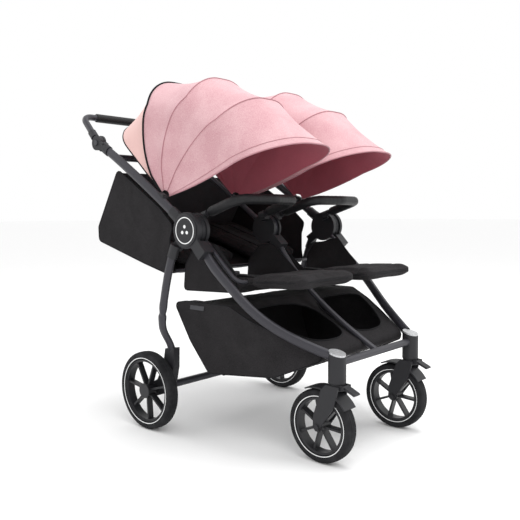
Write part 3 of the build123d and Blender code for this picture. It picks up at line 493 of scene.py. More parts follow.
# ---------------------------------------------------------------- hoods
HOOD_IN, HOOD_OUT = 0.014, 0.332  # the hood's two sides
CORNER = 0.138
LOWEST = 0.024  # where the cloth ends at the pivot
BOWS = {  # angle in the side view, reach, and how far the foot of the seam leans back
    "hem": (42.0, 0.385, 0.0), "rear": (73.3, 0.398, -25.0), "second": (105.0, 0.380, -24.0),
    "third": (135.0, 0.402, -12.0), "rim": (163.0, 0.484, 4.0),
}
LEAN_TO = 0.31  # above this reach a seam lies in its bow's plane
LEAN_OVER = 0.22  # the reach over which a seam's foot comes to lean fully
DOME = 0.010  # how much higher the cloth stands over the middle of a seat
HOOD_MIDDLE = Vector(((HOOD_IN + HOOD_OUT) / 2, HOOD_PIVOT.y, HOOD_PIVOT.z + 0.10))  # cloth dips towards it
SEAM_POINTS = 110


def hoop(bow, u, inset=0.0):
    """A point on the seam over one bow; u runs from the inner foot over the top to the outer foot."""
    angle, reach, lean = BOWS[bow]
    a, b, top = HOOD_IN + inset, HOOD_OUT - inset, reach - inset
    r = CORNER - inset
    sides, arc, flat = top - r - LOWEST, math.pi / 2 * r, b - a - 2 * r
    way = u * (2 * sides + 2 * arc + flat)
    if way < sides:
        x, out = a, LOWEST + way
    elif way < sides + arc:
        turn = (way - sides) / r
        x, out = a + r - r * math.cos(turn), top - r + r * math.sin(turn)
    elif way < sides + arc + flat:
        x, out = a + r + way - sides - arc, top
    elif way < sides + 2 * arc + flat:
        turn = (way - sides - arc - flat) / r
        x, out = b - r + r * math.sin(turn), top - r + r * math.cos(turn)
    else:
        x, out = b, max(LOWEST, top - r - (way - sides - 2 * arc - flat))
    middle = (x - (a + b) / 2) / ((b - a) / 2)
    out += (DOME * (1 - middle * middle) - DOME * 0.6) * max(0.0, min(1.0, (out - LEAN_TO) / 0.05 + 0.5))
    turn = math.radians(angle + lean * max(0.0, min(1.0, (LEAN_TO - out) / LEAN_OVER)))
    return Vector((x, HOOD_PIVOT.y + out * math.cos(turn), HOOD_PIVOT.z + out * math.sin(turn)))


def hood_sheet(first, last, u, s, sag, inset=0.0):
    """A point on the cloth between two bows, which dips between them."""
    p = hoop(first, u, inset).lerp(hoop(last, u, inset), s)
    inwards = (HOOD_MIDDLE - p).normalized()
    far = min(1.0, (p - Vector((p.x, HOOD_PIVOT.y, HOOD_PIVOT.z))).length / 0.25)
    dip = sag * math.sin(math.pi * s) * far
    crease = wrinkle(p, 0.075, 0.0016 * math.sin(math.pi * s) * far, 3.1)
    return p + inwards * (dip + abs(crease))


def hood_section(name, first, last, outer):
    """The cloth between two bows, pink outside and lined inside, with what it was cut to."""
    s = bpy.context.scene.pushchair_sizes
    wide = sum((hoop(last, (k + 1) / 60) - hoop(last, k / 60)).length for k in range(60))
    deep = (hoop(first, 0.5) - hoop(last, 0.5)).length * 1.02
    cloth = cloth_grid(name, 96, 14, lambda u, v: hood_sheet(first, last, u, v, s.sag), (wide, deep),
                       FINISH[outer], FINISH["lining"])
    outwards_of_hood(cloth)
    area = surface_area(cloth)
    modify(cloth, "SOLIDIFY", thickness=s.cloth, offset=-1, material_offset=1, material_offset_rim=0)
    smooth(cloth, 60)
    return cloth, (wide, max(deep, area / wide * 1.001)), area


def outwards_of_hood(cloth):
    """Turns the cloth's faces away from the middle of the hood."""
    middle = Vector(((HOOD_IN + HOOD_OUT) / 2, HOOD_PIVOT.y - 0.05, HOOD_PIVOT.z + 0.08))
    face = max(cloth.data.polygons, key=lambda f: f.center.z)
    if face.normal.dot(face.center - middle) < 0:
        cloth.data.flip_normals()


def seam_line(bow, proud=0.0012):
    """The line of a seam, standing proud of the cloth."""
    points = [hoop(bow, k / (SEAM_POINTS - 1)) for k in range(SEAM_POINTS)]
    return [p + (p - HOOD_MIDDLE).normalized() * proud for p in points]


def fold_flat(piece):
    """Gives the piece its own copy of its mesh."""
    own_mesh(piece)


def hood_pieces(cloth_and_cut, trims, bodies, slot, nodes):
    """Puts a hood section and its trims on both sides; bodies and nodes may hold a place for the side."""
    cloth, flat, area = cloth_and_cut
    made = settle_both(cloth, bodies, slot, nodes, lambda one: one)
    for trim in trims:
        made += settle_both(trim, bodies, slot)
    for one in made:
        fold_flat(one)


class PUSHCHAIR_OT_hoods(bpy.types.Operator):
    """Both hoods: three pink sections and a pale rear panel each, with taped and piped seams"""
    bl_idname = "pushchair.hoods"
    bl_label = "Hoods"

    def execute(self, context):
        s = context.scene.pushchair_sizes
        for part, first, last in (("mid", "rear", "second"), ("upper", "second", "third"), ("front", "third", "rim")):
            edge = s.piping if last == "rim" else s.piping * 0.62
            trims = [tube_on(f"hood_{part}_seam_left", seam_line(last), edge, FINISH["pink_seam"], flat=0.8)]
            if last == "rim":
                hem = [hood_sheet(first, last, k / (SEAM_POINTS - 1), 0.875, s.sag, -0.0006)
                       for k in range(SEAM_POINTS)]
                trims.append(tube_on("hood_rim_stitch_left", hem, 0.0011, FINISH["pink_seam"], flat=0.7))
            cloth = hood_section(f"hood_{part}_cloth_left", first, last, "hood")
            hood_pieces(cloth, trims, "hood_" + part + "_{}", "hood_pink", ["hood_" + part + "_{}"])
        trims = [tube_on("hood_rear_piping_left", seam_line("rear", 0.0016), s.piping * 1.35, FINISH["piping"]),
                 tube_on("hood_rear_hem_left", seam_line("hem", 0.0), s.piping * 0.9, FINISH["piping"])]
        hood_pieces(hood_section("hood_rear_cloth_left", "hem", "rear", "rear"), trims, "push_frame", "hood_peach",
                    ["hood_rear_panels", "hood_rear_bows"])
        return {"FINISHED"}


# ---------------------------------------------------------------- pads
VOXEL = 0.0052  # of a pad's net of faces
PAD_EDGE, EDGE_DEEP = 0.034, 0.42  # a pad thins over this far from its edge, to this share of its depth
PULL_SIDES, PULL_ENDS = 0.007, 0.005  # how far a pad's edges draw in between its corners
SEWN = 0.0045  # depth and width of a sewn channel
PUFF_FRAMES = 20


def pad_block(name, width, length, depth, corner):
    """A flat rounded block about the origin, remeshed to an even net of faces."""
    bpy.ops.mesh.primitive_cube_add(size=1)
    piece = named(name, FINISH["seat"])
    piece.scale = (width, length, depth)
    place_applied(piece)
    bpy.ops.object.mode_set(mode="EDIT")
    bpy.ops.mesh.select_mode(type="EDGE")
    bpy.ops.mesh.select_all(action="DESELECT")
    bpy.ops.object.mode_set(mode="OBJECT")
    for e in piece.data.edges:
        a, b = (piece.data.vertices[k].co for k in e.vertices)
        e.select = abs(a.x - b.x) < 1e-6 and abs(a.y - b.y) < 1e-6
    bpy.ops.object.mode_set(mode="EDIT")
    bpy.ops.mesh.bevel(offset=corner, segments=8)
    bpy.ops.object.mode_set(mode="OBJECT")
    piece.data.remesh_voxel_size = VOXEL
    only(piece)
    bpy.ops.object.voxel_remesh()
    for v in piece.data.vertices:
        far = min(width / 2 - abs(v.co.x), length / 2 - abs(v.co.y))
        rise = max(0.0, min(1.0, far / PAD_EDGE))
        v.co.z *= EDGE_DEEP + (1 - EDGE_DEEP) * math.sin(rise * math.pi / 2)
        v.co.x -= PULL_SIDES * math.cos(math.pi * v.co.y / length) * (v.co.x / (width / 2)) ** 3
        v.co.y -= PULL_ENDS * math.cos(math.pi * v.co.x / width) * (v.co.y / (length / 2)) ** 3
    return piece


def puff(piece, most):
    """The pad filled as if with fibre: cloth under slight pressure, with a cap on how far it moves."""
    scene = bpy.context.scene
    rest = np.array([v.co for v in piece.data.vertices])
    cloth = piece.modifiers.new("Cloth", "CLOTH")
    cloth.settings.quality = 4
    cloth.settings.mass = 0.15
    cloth.settings.tension_stiffness = cloth.settings.compression_stiffness = 12
    cloth.settings.shear_stiffness = 6
    cloth.settings.bending_stiffness = 0.3
    cloth.settings.use_pressure = True
    cloth.settings.uniform_pressure_force = 4
    cloth.settings.effector_weights.gravity = 0
    cloth.collision_settings.use_collision = False
    for step in range(1, PUFF_FRAMES + 1):
        scene.frame_set(step)
    shaped = piece.evaluated_get(bpy.context.evaluated_depsgraph_get())
    moved = np.array([v.co for v in shaped.data.vertices]) - rest
    far = np.linalg.norm(moved, axis=1, keepdims=True)
    moved *= np.minimum(1, most / np.maximum(far, 1e-9))
    piece.modifiers.remove(cloth)
    scene.frame_set(1)
    for v, co in zip(piece.data.vertices, rest + moved):
        v.co = co


def sew(piece, lines):
    """Sewn channels: lines are ("x" or "y", place) across the pad's top face."""
    for v in piece.data.vertices:
        if v.co.z > 0:
            dent = max(math.exp(-((v.co.x if axis == "x" else v.co.y) - at) ** 2 / SEWN ** 2)
                       for axis, at in lines)
            v.co.z -= min(SEWN, v.co.z * 0.8) * dent
        v.co.z += wrinkle(v.co, 0.045, 0.0010, 5.0) * (1 if v.co.z > 0 else 0.3)


def welt_line(piece, width, length, corner):
    """The pad's outer edge, followed on its mesh."""
    w, h, r = width / 2, length / 2, corner
    line = []
    for cx, cy, start in ((w - r, h - r, 0), (-w + r, h - r, 90), (-w + r, -h + r, 180), (w - r, -h + r, 270)):
        line += [Vector((cx + r * math.cos(math.radians(start + a)), cy + r * math.sin(math.radians(start + a)), 0))
                 for a in range(0, 91, 15)]
    line = evenly(line, 72, closed=True)
    edge = np.array([v.co for v in piece.data.vertices if abs(v.co.z) < 0.004])
    result = []
    for p in line:
        near = edge[np.argmin(((edge[:, :2] - np.array(p)[:2]) ** 2).sum(1))]
        result.append(Vector((near[0], near[1], 0)) + Vector((p.x, p.y, 0)).normalized() * 0.0006)
    for _ in range(3):
        result = [(result[k - 1] + result[k] * 2 + result[(k + 1) % len(result)]) / 4 for k in range(len(result))]
    return result


def pad(name, width, length, depth, corner, lines, centre, along, fill):
    """A sewn pad with a welt round its edge; along is the direction of its length in the side view."""
    s = bpy.context.scene.pushchair_sizes
    swell = s.pad_swell * 0.55
    piece = pad_block(name, width - 2 * swell, length - 2 * swell, depth - swell, corner)
    puff(piece, s.pad_swell)
    sew(piece, lines)
    welt = tube_on(name + "_welt", welt_line(piece, width - 2 * swell, length - 2 * swell, corner), s.piping * 0.8,
                   FINISH["piping"], closed=True)
    modify(piece, "SUBSURF", levels=1, render_levels=1)
    along = Vector(along).normalized()
    up = Vector((1, 0, 0)).cross(along)
    place = Matrix(((1, along.x, up.x, centre[0]), (0, along.y, up.y, centre[1]), (0, along.z, up.z, centre[2]),
                    (0, 0, 0, 1)))
    for one in (piece, welt):
        one.data.transform(place)
        smooth(one, 80)
    return piece, welt, fill


def pads_on_both(made, body, slot, nodes):
    """Puts a pad and its welt on both sides; body and nodes may hold a place for the side."""
    piece, welt, fill = made
    settle_both(piece, body, slot, nodes, lambda one: one)
    settle_both(welt, body, slot)


def ribbon(name, points, width, thick, material, across=(1, 0, 0)):
    """A flat strap along a line, width across it."""
    points = evenly(rounded_line(points, 3), 40)
    across = Vector(across).normalized()
    rows = []
    for k, p in enumerate(points):
        along = (points[min(k + 1, len(points) - 1)] - points[max(k - 1, 0)]).normalized()
        lift = across.cross(along).normalized()
        rows.append([p + across * (width / 2 * a) + lift * (thick / 2 * b)
                     for a, b in ((-1, -1), (1, -1), (1, 1), (-1, 1))])
    return swept(name, rows, material, False, 40)


def row(x, y, z):
    """A point given with y from the rear axle."""
    return Vector((x, AXLE_Y + y, z))


SEAT_X = 0.165  # middle of a seat
BACK_LEAN = math.radians(17)


class PUSHCHAIR_OT_pads(bpy.types.Operator):
    """Seat pads, backrests and leg rests, sewn, filled and welted"""
    bl_idname = "pushchair.pads"
    bl_label = "Pads"

    def execute(self, context):
        seat = pad("seat_pad_left", 0.278, 0.226, 0.030, 0.020, [("y", 0.0), ("y", 0.07), ("y", -0.07)],
                   row(SEAT_X, -0.261, 0.4785), (0, 1, -0.034), 0.7)
        pads_on_both(seat, "front_frame", "seat_cloth", ["seat_bases"])
        rest = pad("legrest_pad_left", 0.287, 0.218, 0.030, 0.040, [("y", -0.045), ("y", 0.045)],
                   row(SEAT_X, -0.5045, 0.5062), (0, 1, -0.047), 0.75)
        pads_on_both(rest, "legrest_{}", "seat_cloth", ["legrest_{}"])
        along = (0, math.cos(BACK_LEAN), math.sin(BACK_LEAN))
        up = Vector((0, -math.sin(BACK_LEAN), math.cos(BACK_LEAN)))
        foot = JOINT_AT["backrest_recline_left"]
        middle = Vector((SEAT_X, foot.y, foot.z)) + Vector(along) * 0.206 + up * 0.019
        back = pad("backrest_pad_left", 0.274, 0.384, 0.031, 0.045,
                   [("y", -0.10), ("y", 0.02), ("y", 0.12), ("x", 0.09), ("x", -0.09)], middle, along, 0.65)
        pads_on_both(back, "backrest_{}", "seat_cloth", ["backrest_{}"])
        hinge = JOINT_AT["legrest_tilt_left"]
        for side, sign in SIDES:
            for k, x in enumerate((0.067, 0.263)):
                line = [Vector((sign * (x + dx), hinge.y, hinge.z)) for dx in (-0.017, -0.006, 0.006, 0.017)]
                loop = tube_on(f"legrest_loop_{k}_{side}", line, 0.0096, FINISH["seat"], steps=20)
                settle(loop, f"legrest_{side}", "seat_cloth")
            for k, x in enumerate((-0.042, 0.042)):
                start = Vector((sign * SEAT_X + x, foot.y, foot.z))
                line = [start + Vector(along) * a + up * b for a, b in ((0.335, 0.030), (0.32, 0.042), (0.2, 0.0405),
                                                                      (0.08, 0.0405), (0.035, 0.039), (0.02, 0.032))]
                strap = ribbon(f"shoulder_strap_{k}_{side}", line, 0.034, 0.0045, FINISH["webbing"])
                settle(strap, f"backrest_{side}", "seat_cloth")
            crotch = [row(sign * SEAT_X, y, z) for y, z in ((-0.335, 0.492), (-0.33, 0.502), (-0.27, 0.504),
                                                            (-0.215, 0.503))]
            strap = ribbon(f"crotch_strap_{side}", crotch, 0.036, 0.0045, FINISH["webbing"])
            settle(strap, "front_frame", "seat_cloth")
            buckle(f"harness_buckle_{side}", row(sign * SEAT_X, -0.205, 0.507))
        return {"FINISHED"}


def buckle(name, at):
    """A harness buckle: a pressed body with a raised round button."""
    bpy.ops.mesh.primitive_cube_add(size=1, location=at)
    piece = named(name, FINISH["button"])
    piece.scale = (0.052, 0.046, 0.013)
    place_applied(piece)
    modify(piece, "BEVEL", width=0.0045, segments=4)
    bpy.ops.mesh.primitive_cylinder_add(vertices=32, radius=0.011, depth=0.004, location=at + Vector((0, 0, 0.0075)))
    knob = named(name + "_knob", FINISH["plastic"])
    place_applied(knob)
    modify(knob, "BEVEL", width=0.0012, segments=2)
    piece = joined(name, [piece, knob])
    smooth(piece)
    settle(piece, "front_frame", "dark_plastic")


# ---------------------------------------------------------------- cloth shells
OUTLINE_POINTS = 132  # round a shell
SIDE_RINGS, SIDE_DIP = 12, 0.004  # in a shell's cloth sides, and how far they dip


def soft_outline(points, count=OUTLINE_POINTS, radius=0.016):
    """A closed (y, z) outline with softened corners, and for each point the number of its old edge."""
    corners = [Vector((0, y, z)) for y, z in points]
    line = []
    for k, b in enumerate(corners):
        line += corner_arc(corners[k - 1], b, corners[(k + 1) % len(corners)], radius, 4)
    line = evenly(line, count, closed=True)
    edges = []
    for p in line:
        best = (9, 0)
        for k, a in enumerate(corners):
            b = corners[(k + 1) % len(corners)]
            t = max(0, min(1, (p - a).dot(b - a) / (b - a).length_squared))
            best = min(best, ((p - a.lerp(b, t)).length, k))
        edges.append(best[1])
    return line, edges


def shell(name, points, half, stations, open_edges, materials, edge_material, crease, hole=None):
    """A sewn shell: an outline carried across the pushchair, with a cloth side of shrinking rings at each end."""
    line, edges = soft_outline(points)
    centre = sum(line, Vector()) / len(line)
    bpy.ops.mesh.primitive_grid_add(x_subdivisions=2, y_subdivisions=2, size=1, calc_uvs=True)
    piece = named(name, *materials)
    mesh = bmesh.new()
    uv = mesh.loops.layers.uv.new("UVMap")

    def ring(share, scale=1.0):
        """The outline at a share of the half width; a scale under 1 is a ring of the side, which dips inwards."""
        dip = 0 if scale == 1 else SIDE_DIP * math.sin(math.pi * min(1, 1.15 * scale))
        made = []
        for p in line:
            q = centre + (p - centre) * scale
            at = Vector((share * (half(q.y, q.z) - dip), AXLE_Y + q.y, q.z))
            push = wrinkle(at, 0.085, crease, 2.0)
            if scale > 0.96:
                at += Vector((0, (q - centre).y, (q - centre).z)).normalized() * push
            else:
                at.x -= abs(push) * (1 if share > 0 else -1)
            made.append(mesh.verts.new(at))
        return made

    scales = [0.965 * k / SIDE_RINGS for k in range(1, SIDE_RINGS + 1)]
    low_side = [ring(-1, scale) for scale in reversed(scales)][::-1]
    middle_rings = [ring(-1 + 2 * n / stations) for n in range(stations + 1)]
    high_side = [ring(1, scale) for scale in reversed(scales)]
    rings = low_side + middle_rings + high_side
    length = (line[0] - line[1]).length
    for number, (a, b) in enumerate(zip(rings, rings[1:])):
        wrap = SIDE_RINGS <= number < SIDE_RINGS + stations
        for k in range(OUTLINE_POINTS):
            n = (k + 1) % OUTLINE_POINTS
            if wrap and edges[k] in open_edges:
                continue
            corners = [a[k], a[n], b[n], b[k]]
            if hole and wrap and hole(sum((v.co for v in corners), Vector()) / 4):
                continue
            face = mesh.faces.new(corners)
            face.material_index = edge_material.get(edges[k], 0) if wrap else 0
            for loop, along in zip(face.loops, (k, k + 1, k + 1, k)):
                loop[uv].uv = (along * length, loop.vert.co.x) if wrap else (loop.vert.co.y, loop.vert.co.z)
    for made in (rings[0], rings[-1]):
        face = mesh.faces.new(made)
        for loop in face.loops:
            loop[uv].uv = (loop.vert.co.y, loop.vert.co.z)
    bmesh.ops.delete(mesh, geom=[v for v in mesh.verts if not v.link_faces], context="VERTS")
    bmesh.ops.recalc_face_normals(mesh, faces=mesh.faces)
    end = max(mesh.faces, key=lambda f: abs(f.calc_center_median().x))
    if end.normal.x * end.calc_center_median().x < 0:
        bmesh.ops.reverse_faces(mesh, faces=mesh.faces)
    mesh.to_mesh(piece.data)
    mesh.free()
    return piece


def snap_rim(piece, inside, nearest):
    """Brings the ragged rim of an opening on to its drawn line."""
    mesh = bmesh.new()
    mesh.from_mesh(piece.data)
    for v in {v for e in mesh.edges if e.is_boundary for v in e.verts}:
        if inside(v.co):
            v.co = nearest(v.co)
    mesh.to_mesh(piece.data)
    mesh.free()


def finish_sheet(piece, thick):
    """Gives a shell its cloth's thickness."""
    low, high = (Vector(f(v.co[k] for v in piece.data.vertices) for k in range(3)) for f in (min, max))
    modify(piece, "SOLIDIFY", thickness=thick, offset=-1)
    smooth(piece, 50)


BAG = [(-0.122, 0.662), (-0.060, 0.716), (0.153, 0.846), (0.270, 0.654), (0.268, 0.606), (0.015, 0.537),
       (-0.118, 0.505), (-0.108, 0.556), (-0.108, 0.620)]
BAG_HALF = 0.3305
BASKET = [(-0.112, 0.420), (-0.170, 0.430), (-0.352, 0.430), (-0.452, 0.382), (-0.632, 0.300), (-0.480, 0.232),
          (-0.206, 0.199), (-0.150, 0.300)]
BASKET_FRONT = [(-0.376, 0.335), (-0.426, 0.325), (-0.493, 0.297), (-0.567, 0.257), (-0.644, 0.208)]
WINDOW = [(0.013, 0.030), (0.292, 0.030), (0.272, 0.100), (0.232, 0.170), (0.190, 0.222), (0.140, 0.238),
          (0.060, 0.238), (0.013, 0.205)]
SLOPE_TOP, SLOPE_TIP = Vector((0, -0.352, 0.430)), Vector((0, -0.632, 0.300))
FLOOR_HALF, FLOOR_Z, LEAN_IN = 0.264, 0.199, 0.2468  # the basket's floor, and its sides' lean per metre of height
TUBE_GAP = 0.0135  # between the middle of a front tube and the basket's cloth
MOUTH_FRONT, MOUTH_HALF, MOUTH_Z = -0.215, 0.288, 0.405  # the basket's open rear


def basket_half(y, z):
    """Half the basket's width: it leans in towards the floor and follows the front tubes inwards."""
    lean = FLOOR_HALF + (z - FLOOR_Z) * LEAN_IN
    tube = BASKET_FRONT[0][1]
    for (y0, x0), (y1, x1) in zip(BASKET_FRONT, BASKET_FRONT[1:]):
        if y < y0:
            tube = x0 + (x1 - x0) * min(1, (y0 - y) / (y0 - y1))
    return min(lean, tube - TUBE_GAP) - 0.001


def on_slope(co):
    """Across and down the basket's sloping front."""
    down = (SLOPE_TIP - SLOPE_TOP).normalized()
    p = Vector((0, co.y - AXLE_Y, co.z)) - SLOPE_TOP
    return abs(co.x), p.dot(down), p.dot(Vector((0, down.z, -down.y)))


WINDOW_LINE = evenly(rounded_line([Vector((x, s, 0)) for x, s in WINDOW], 2, closed=True), 90, closed=True)


def in_window(x, s):
    """Whether a place on the slope lies inside the window's line."""
    inside = False
    for a, b in zip(WINDOW_LINE, WINDOW_LINE[1:] + WINDOW_LINE[:1]):
        if (a.y > s) != (b.y > s) and x < (b.x - a.x) * (s - a.y) / (b.y - a.y) + a.x:
            inside = not inside
    return inside


def slope_point(x, s, lift=0.0):
    """The point x across and s down the slope."""
    down = (SLOPE_TIP - SLOPE_TOP).normalized()
    p = SLOPE_TOP + down * s + Vector((0, -down.z, down.y)) * -lift
    return Vector((x, AXLE_Y + p.y, p.z))


class PUSHCHAIR_OT_shells(bpy.types.Operator):
    """The bag behind the seats, the basket and the cloth at the seats' sides"""
    bl_idname = "pushchair.shells"
    bl_label = "Bag, basket and side cloth"

    def execute(self, context):
        s = context.scene.pushchair_sizes
        bag = shell("seat_bag_cloth", BAG, lambda y, z: BAG_HALF, 64, {0, 1, 6, 7, 8},
                    (FINISH["sheet"], FINISH["net"]), {2: 1}, 0.0035)
        finish_sheet(bag, s.cloth)
        settle(bag, "push_frame", "bag_cloth", "seat_bag")
        line, _ = soft_outline(BAG)
        for side, sign in SIDES:
            rim = [Vector((sign * (BAG_HALF - 0.001), AXLE_Y + p.y, p.z)) for p in line]
            welt = tube_on(f"seat_bag_welt_{side}", rim, s.piping, FINISH["piping"], closed=True)
            settle(welt, "push_frame", "bag_cloth")
        basket = shell("basket_cloth", BASKET, basket_half, 72, set(),
                       (FINISH["sheet"],), {}, 0.0030, hole=self.opening)
        snap_rim(basket, lambda co: co.y - AXLE_Y < -0.36 and abs(on_slope(co)[2]) < 0.02, self.to_window)
        finish_sheet(basket, s.cloth)
        settle(basket, "front_frame", "basket_cloth", "basket")
        for side, sign in SIDES:
            line = [slope_point(sign * p.x, p.y, 0.0006) for p in WINDOW_LINE]
            hem = tube_on(f"basket_window_hem_{side}", line, s.piping, FINISH["piping"], closed=True)
            settle(hem, "front_frame", "basket_cloth")
            line, _ = soft_outline(BASKET)
            rim = [Vector((sign * (basket_half(p.y, p.z) - 0.0005), AXLE_Y + p.y, p.z)) for p in line]
            welt = tube_on(f"basket_welt_{side}", rim, s.piping * 0.8, FINISH["piping"], closed=True)
            settle(welt, "front_frame", "basket_cloth")
        x = -basket_half(-0.215, 0.415) - 0.0012
        line = [row(x, y, 0.414) for y in (-0.245, -0.225, -0.205, -0.185)]
        label = ribbon("basket_label_right", line, 0.016, 0.0012, FINISH["button"], across=(0.24, 0, 0.97))
        settle(label, "front_frame", "basket_cloth")
        self.side_cloth(s)
        return {"FINISHED"}

    def opening(self, middle):
        """Whether a face lies in the rear mouth or in one of the two front windows."""
        x, down, off = on_slope(middle)
        y = middle.y - AXLE_Y
        if y > MOUTH_FRONT and middle.z > MOUTH_Z and x < MOUTH_HALF:
            return True
        return y < SLOPE_TOP.y and abs(off) < 0.02 and middle.z > 0.3 and in_window(x, down)

    def to_window(self, co):
        """The nearest place on the window's line, where that is close."""
        x, down, _ = on_slope(co)
        near = min(WINDOW_LINE, key=lambda p: (p.x - x) ** 2 + (p.y - down) ** 2)
        if (near.x - x) ** 2 + (near.y - down) ** 2 > 0.016 ** 2:
            return co
        return slope_point(math.copysign(near.x, co.x), near.y)

    def side_cloth(self, s):
        """Cloth between each seat and its hubs, hemmed all round."""
        outer = [(-0.292, 0.606), (-0.374, 0.520), (-0.372, 0.470), (-0.148, 0.462), (-0.156, 0.540),
                 (-0.190, 0.588), (-0.222, 0.590)]
        inner = [(-0.262, 0.596), (-0.366, 0.512), (-0.366, 0.486), (-0.148, 0.462), (-0.156, 0.540),
                 (-0.206, 0.592)]
        for name, points, x in (("out", outer, 0.3082), ("mid", inner, 0.0200)):
            line, _ = soft_outline(points, 72, 0.010)
            centre = sum(line, Vector()) / len(line)

            def place(u, v, line=line, centre=centre, x=x):
                p = line[int(round(u * 71)) % 72] if u < 0.9999 else line[0]
                q = centre.lerp(p, v)
                at = Vector((x, AXLE_Y + q.y, q.z))
                at.x += wrinkle(at, 0.05, 0.0012, 7.0) * (1 - v)
                return at

            cloth = cloth_grid(f"seat_side_{name}_cloth_left", 71, 10, place, (0.5, 0.1), FINISH["sheet"])
            modify(cloth, "WELD", merge_threshold=0.0004)
            outwards(cloth)
            modify(cloth, "SOLIDIFY", thickness=s.cloth * 1.4, offset=0)
            smooth(cloth, 50)
            hem = tube_on(f"seat_side_{name}_hem_left", [Vector((x, AXLE_Y + p.y, p.z)) for p in line],
                          s.piping * 0.8, FINISH["piping"], closed=True)
            settle_both(cloth, "front_frame", "seat_cloth", ["seat_side_panels"], lambda one: one)
            settle_both(hem, "front_frame", "seat_cloth")


# ---------------------------------------------------------------- bumper covers
BAR_RISE = math.radians(18)
BAR_Y, BAR_Z = -0.236, 0.693  # where both ends start
BAR_BEND = 0.044
COVER_RADIUS = 0.0148


def filleted(points, radius):
    """A line whose inner corners are arcs of one radius."""
    line = [points[0]]
    for a, b, c in zip(points, points[1:], points[2:]):
        line += corner_arc(a, b, c, radius, 10)
    return line + [points[-1]]


class PUSHCHAIR_OT_bumpers(bpy.types.Operator):
    """Padded covers of the two bumper bars, with a sewn seam inside the bend"""
    bl_idname = "pushchair.bumpers"
    bl_label = "Bumper covers"

    def execute(self, context):
        pull = Vector((0, -math.cos(BAR_RISE), math.sin(BAR_RISE)))
        out, inn = row(0.305, BAR_Y, BAR_Z), row(0.044, BAR_Y, BAR_Z)
        reach = 0.143 / math.cos(BAR_RISE)
        middle = row(0.1745, -0.403, BAR_Z + reach * math.sin(BAR_RISE))
        corners = [out + pull * 0.028, out + pull * reach, middle, inn + pull * reach, inn + pull * 0.028]
        line = evenly(filleted(corners, BAR_BEND), 90)

        def body(t):
            end = min(t, 1 - t) * 2
            return (COVER_RADIUS * (0.80 + 0.20 * min(1.0, end / 0.05) ** 0.5)
                    + 0.0006 * math.sin(26 * math.pi * t) ** 2)

        cover = tube_on("bumper_cover_left", line, body, FINISH["leather"], steps=28)
        seam_side = [p + Vector((0, 0, -1)) * 0.0143 for p in line[3:-3]]
        seam = tube_on("bumper_seam_left", seam_side, 0.0011, FINISH["piping"], steps=6)
        settle_both(cover, "bumper_{}", "bumper_cover", ["bumper_grip_{}"], lambda one: one)
        settle_both(seam, "bumper_{}", "bumper_cover")
        return {"FINISHED"}


# ---------------------------------------------------------------- wheels and hubs
SQUARE = 3.4  # how square a tyre's section is: 2 is a plain oval
GROOVE_DEEP, GROOVE_WIDE = 0.0014, 0.0016
NICKS, NICK_DEEP = 56, 0.0009  # cut across both shoulders of the tread
LIP_IN, LIP_WIDE = 0.0045, 0.003  # a rim's lip: how far in from the tyre's side, and its width


def tyre(name, radius, width, rim, grooves):
    """A tyre about the X axis through the origin: bulged sides, grooves round the tread, nicks on its shoulders."""
    middle, tall = (radius + rim) / 2, (radius - rim) / 2
    bpy.ops.mesh.primitive_torus_add(major_segments=112, minor_segments=72, major_radius=middle, minor_radius=tall,
                                     rotation=(0, math.pi / 2, 0))
    piece = named(name, FINISH["rubber"])
    place_applied(piece)
    power = 2 / SQUARE
    for v in piece.data.vertices:
        out = math.hypot(v.co.y, v.co.z)
        turn = math.atan2(v.co.x, out - middle)
        c, s = math.cos(turn), math.sin(turn)
        x = math.copysign(abs(s) ** power, s) * width / 2
        far = middle + math.copysign(abs(c) ** power, c) * tall
        if far > radius - 0.004:
            for k in range(grooves):
                at = (k - (grooves - 1) / 2) * width / (grooves + 1.2)
                far -= GROOVE_DEEP * math.exp(-((x - at) / GROOVE_WIDE) ** 2)
            spin = math.atan2(v.co.y, v.co.z)
            if abs(x) > width * 0.28:
                far -= NICK_DEEP * max(0.0, math.sin(spin * NICKS)) ** 2
        scale = far / out
        v.co = Vector((x, v.co.y * scale, v.co.z * scale))
    smooth(piece, 50)
    return piece


def side_ring(name, radius, x, width):
    """A thin flattened ring about the X axis, on a tyre's or a rim's side."""
    bpy.ops.mesh.primitive_torus_add(major_segments=112, minor_segments=10, major_radius=radius,
                                     minor_radius=width / 2, rotation=(0, math.pi / 2, 0))
    piece = named(name, FINISH["ring"])
    place_applied(piece)
    for v in piece.data.vertices:
        v.co.x = x + v.co.x * 0.45
    smooth(piece)
    return piece


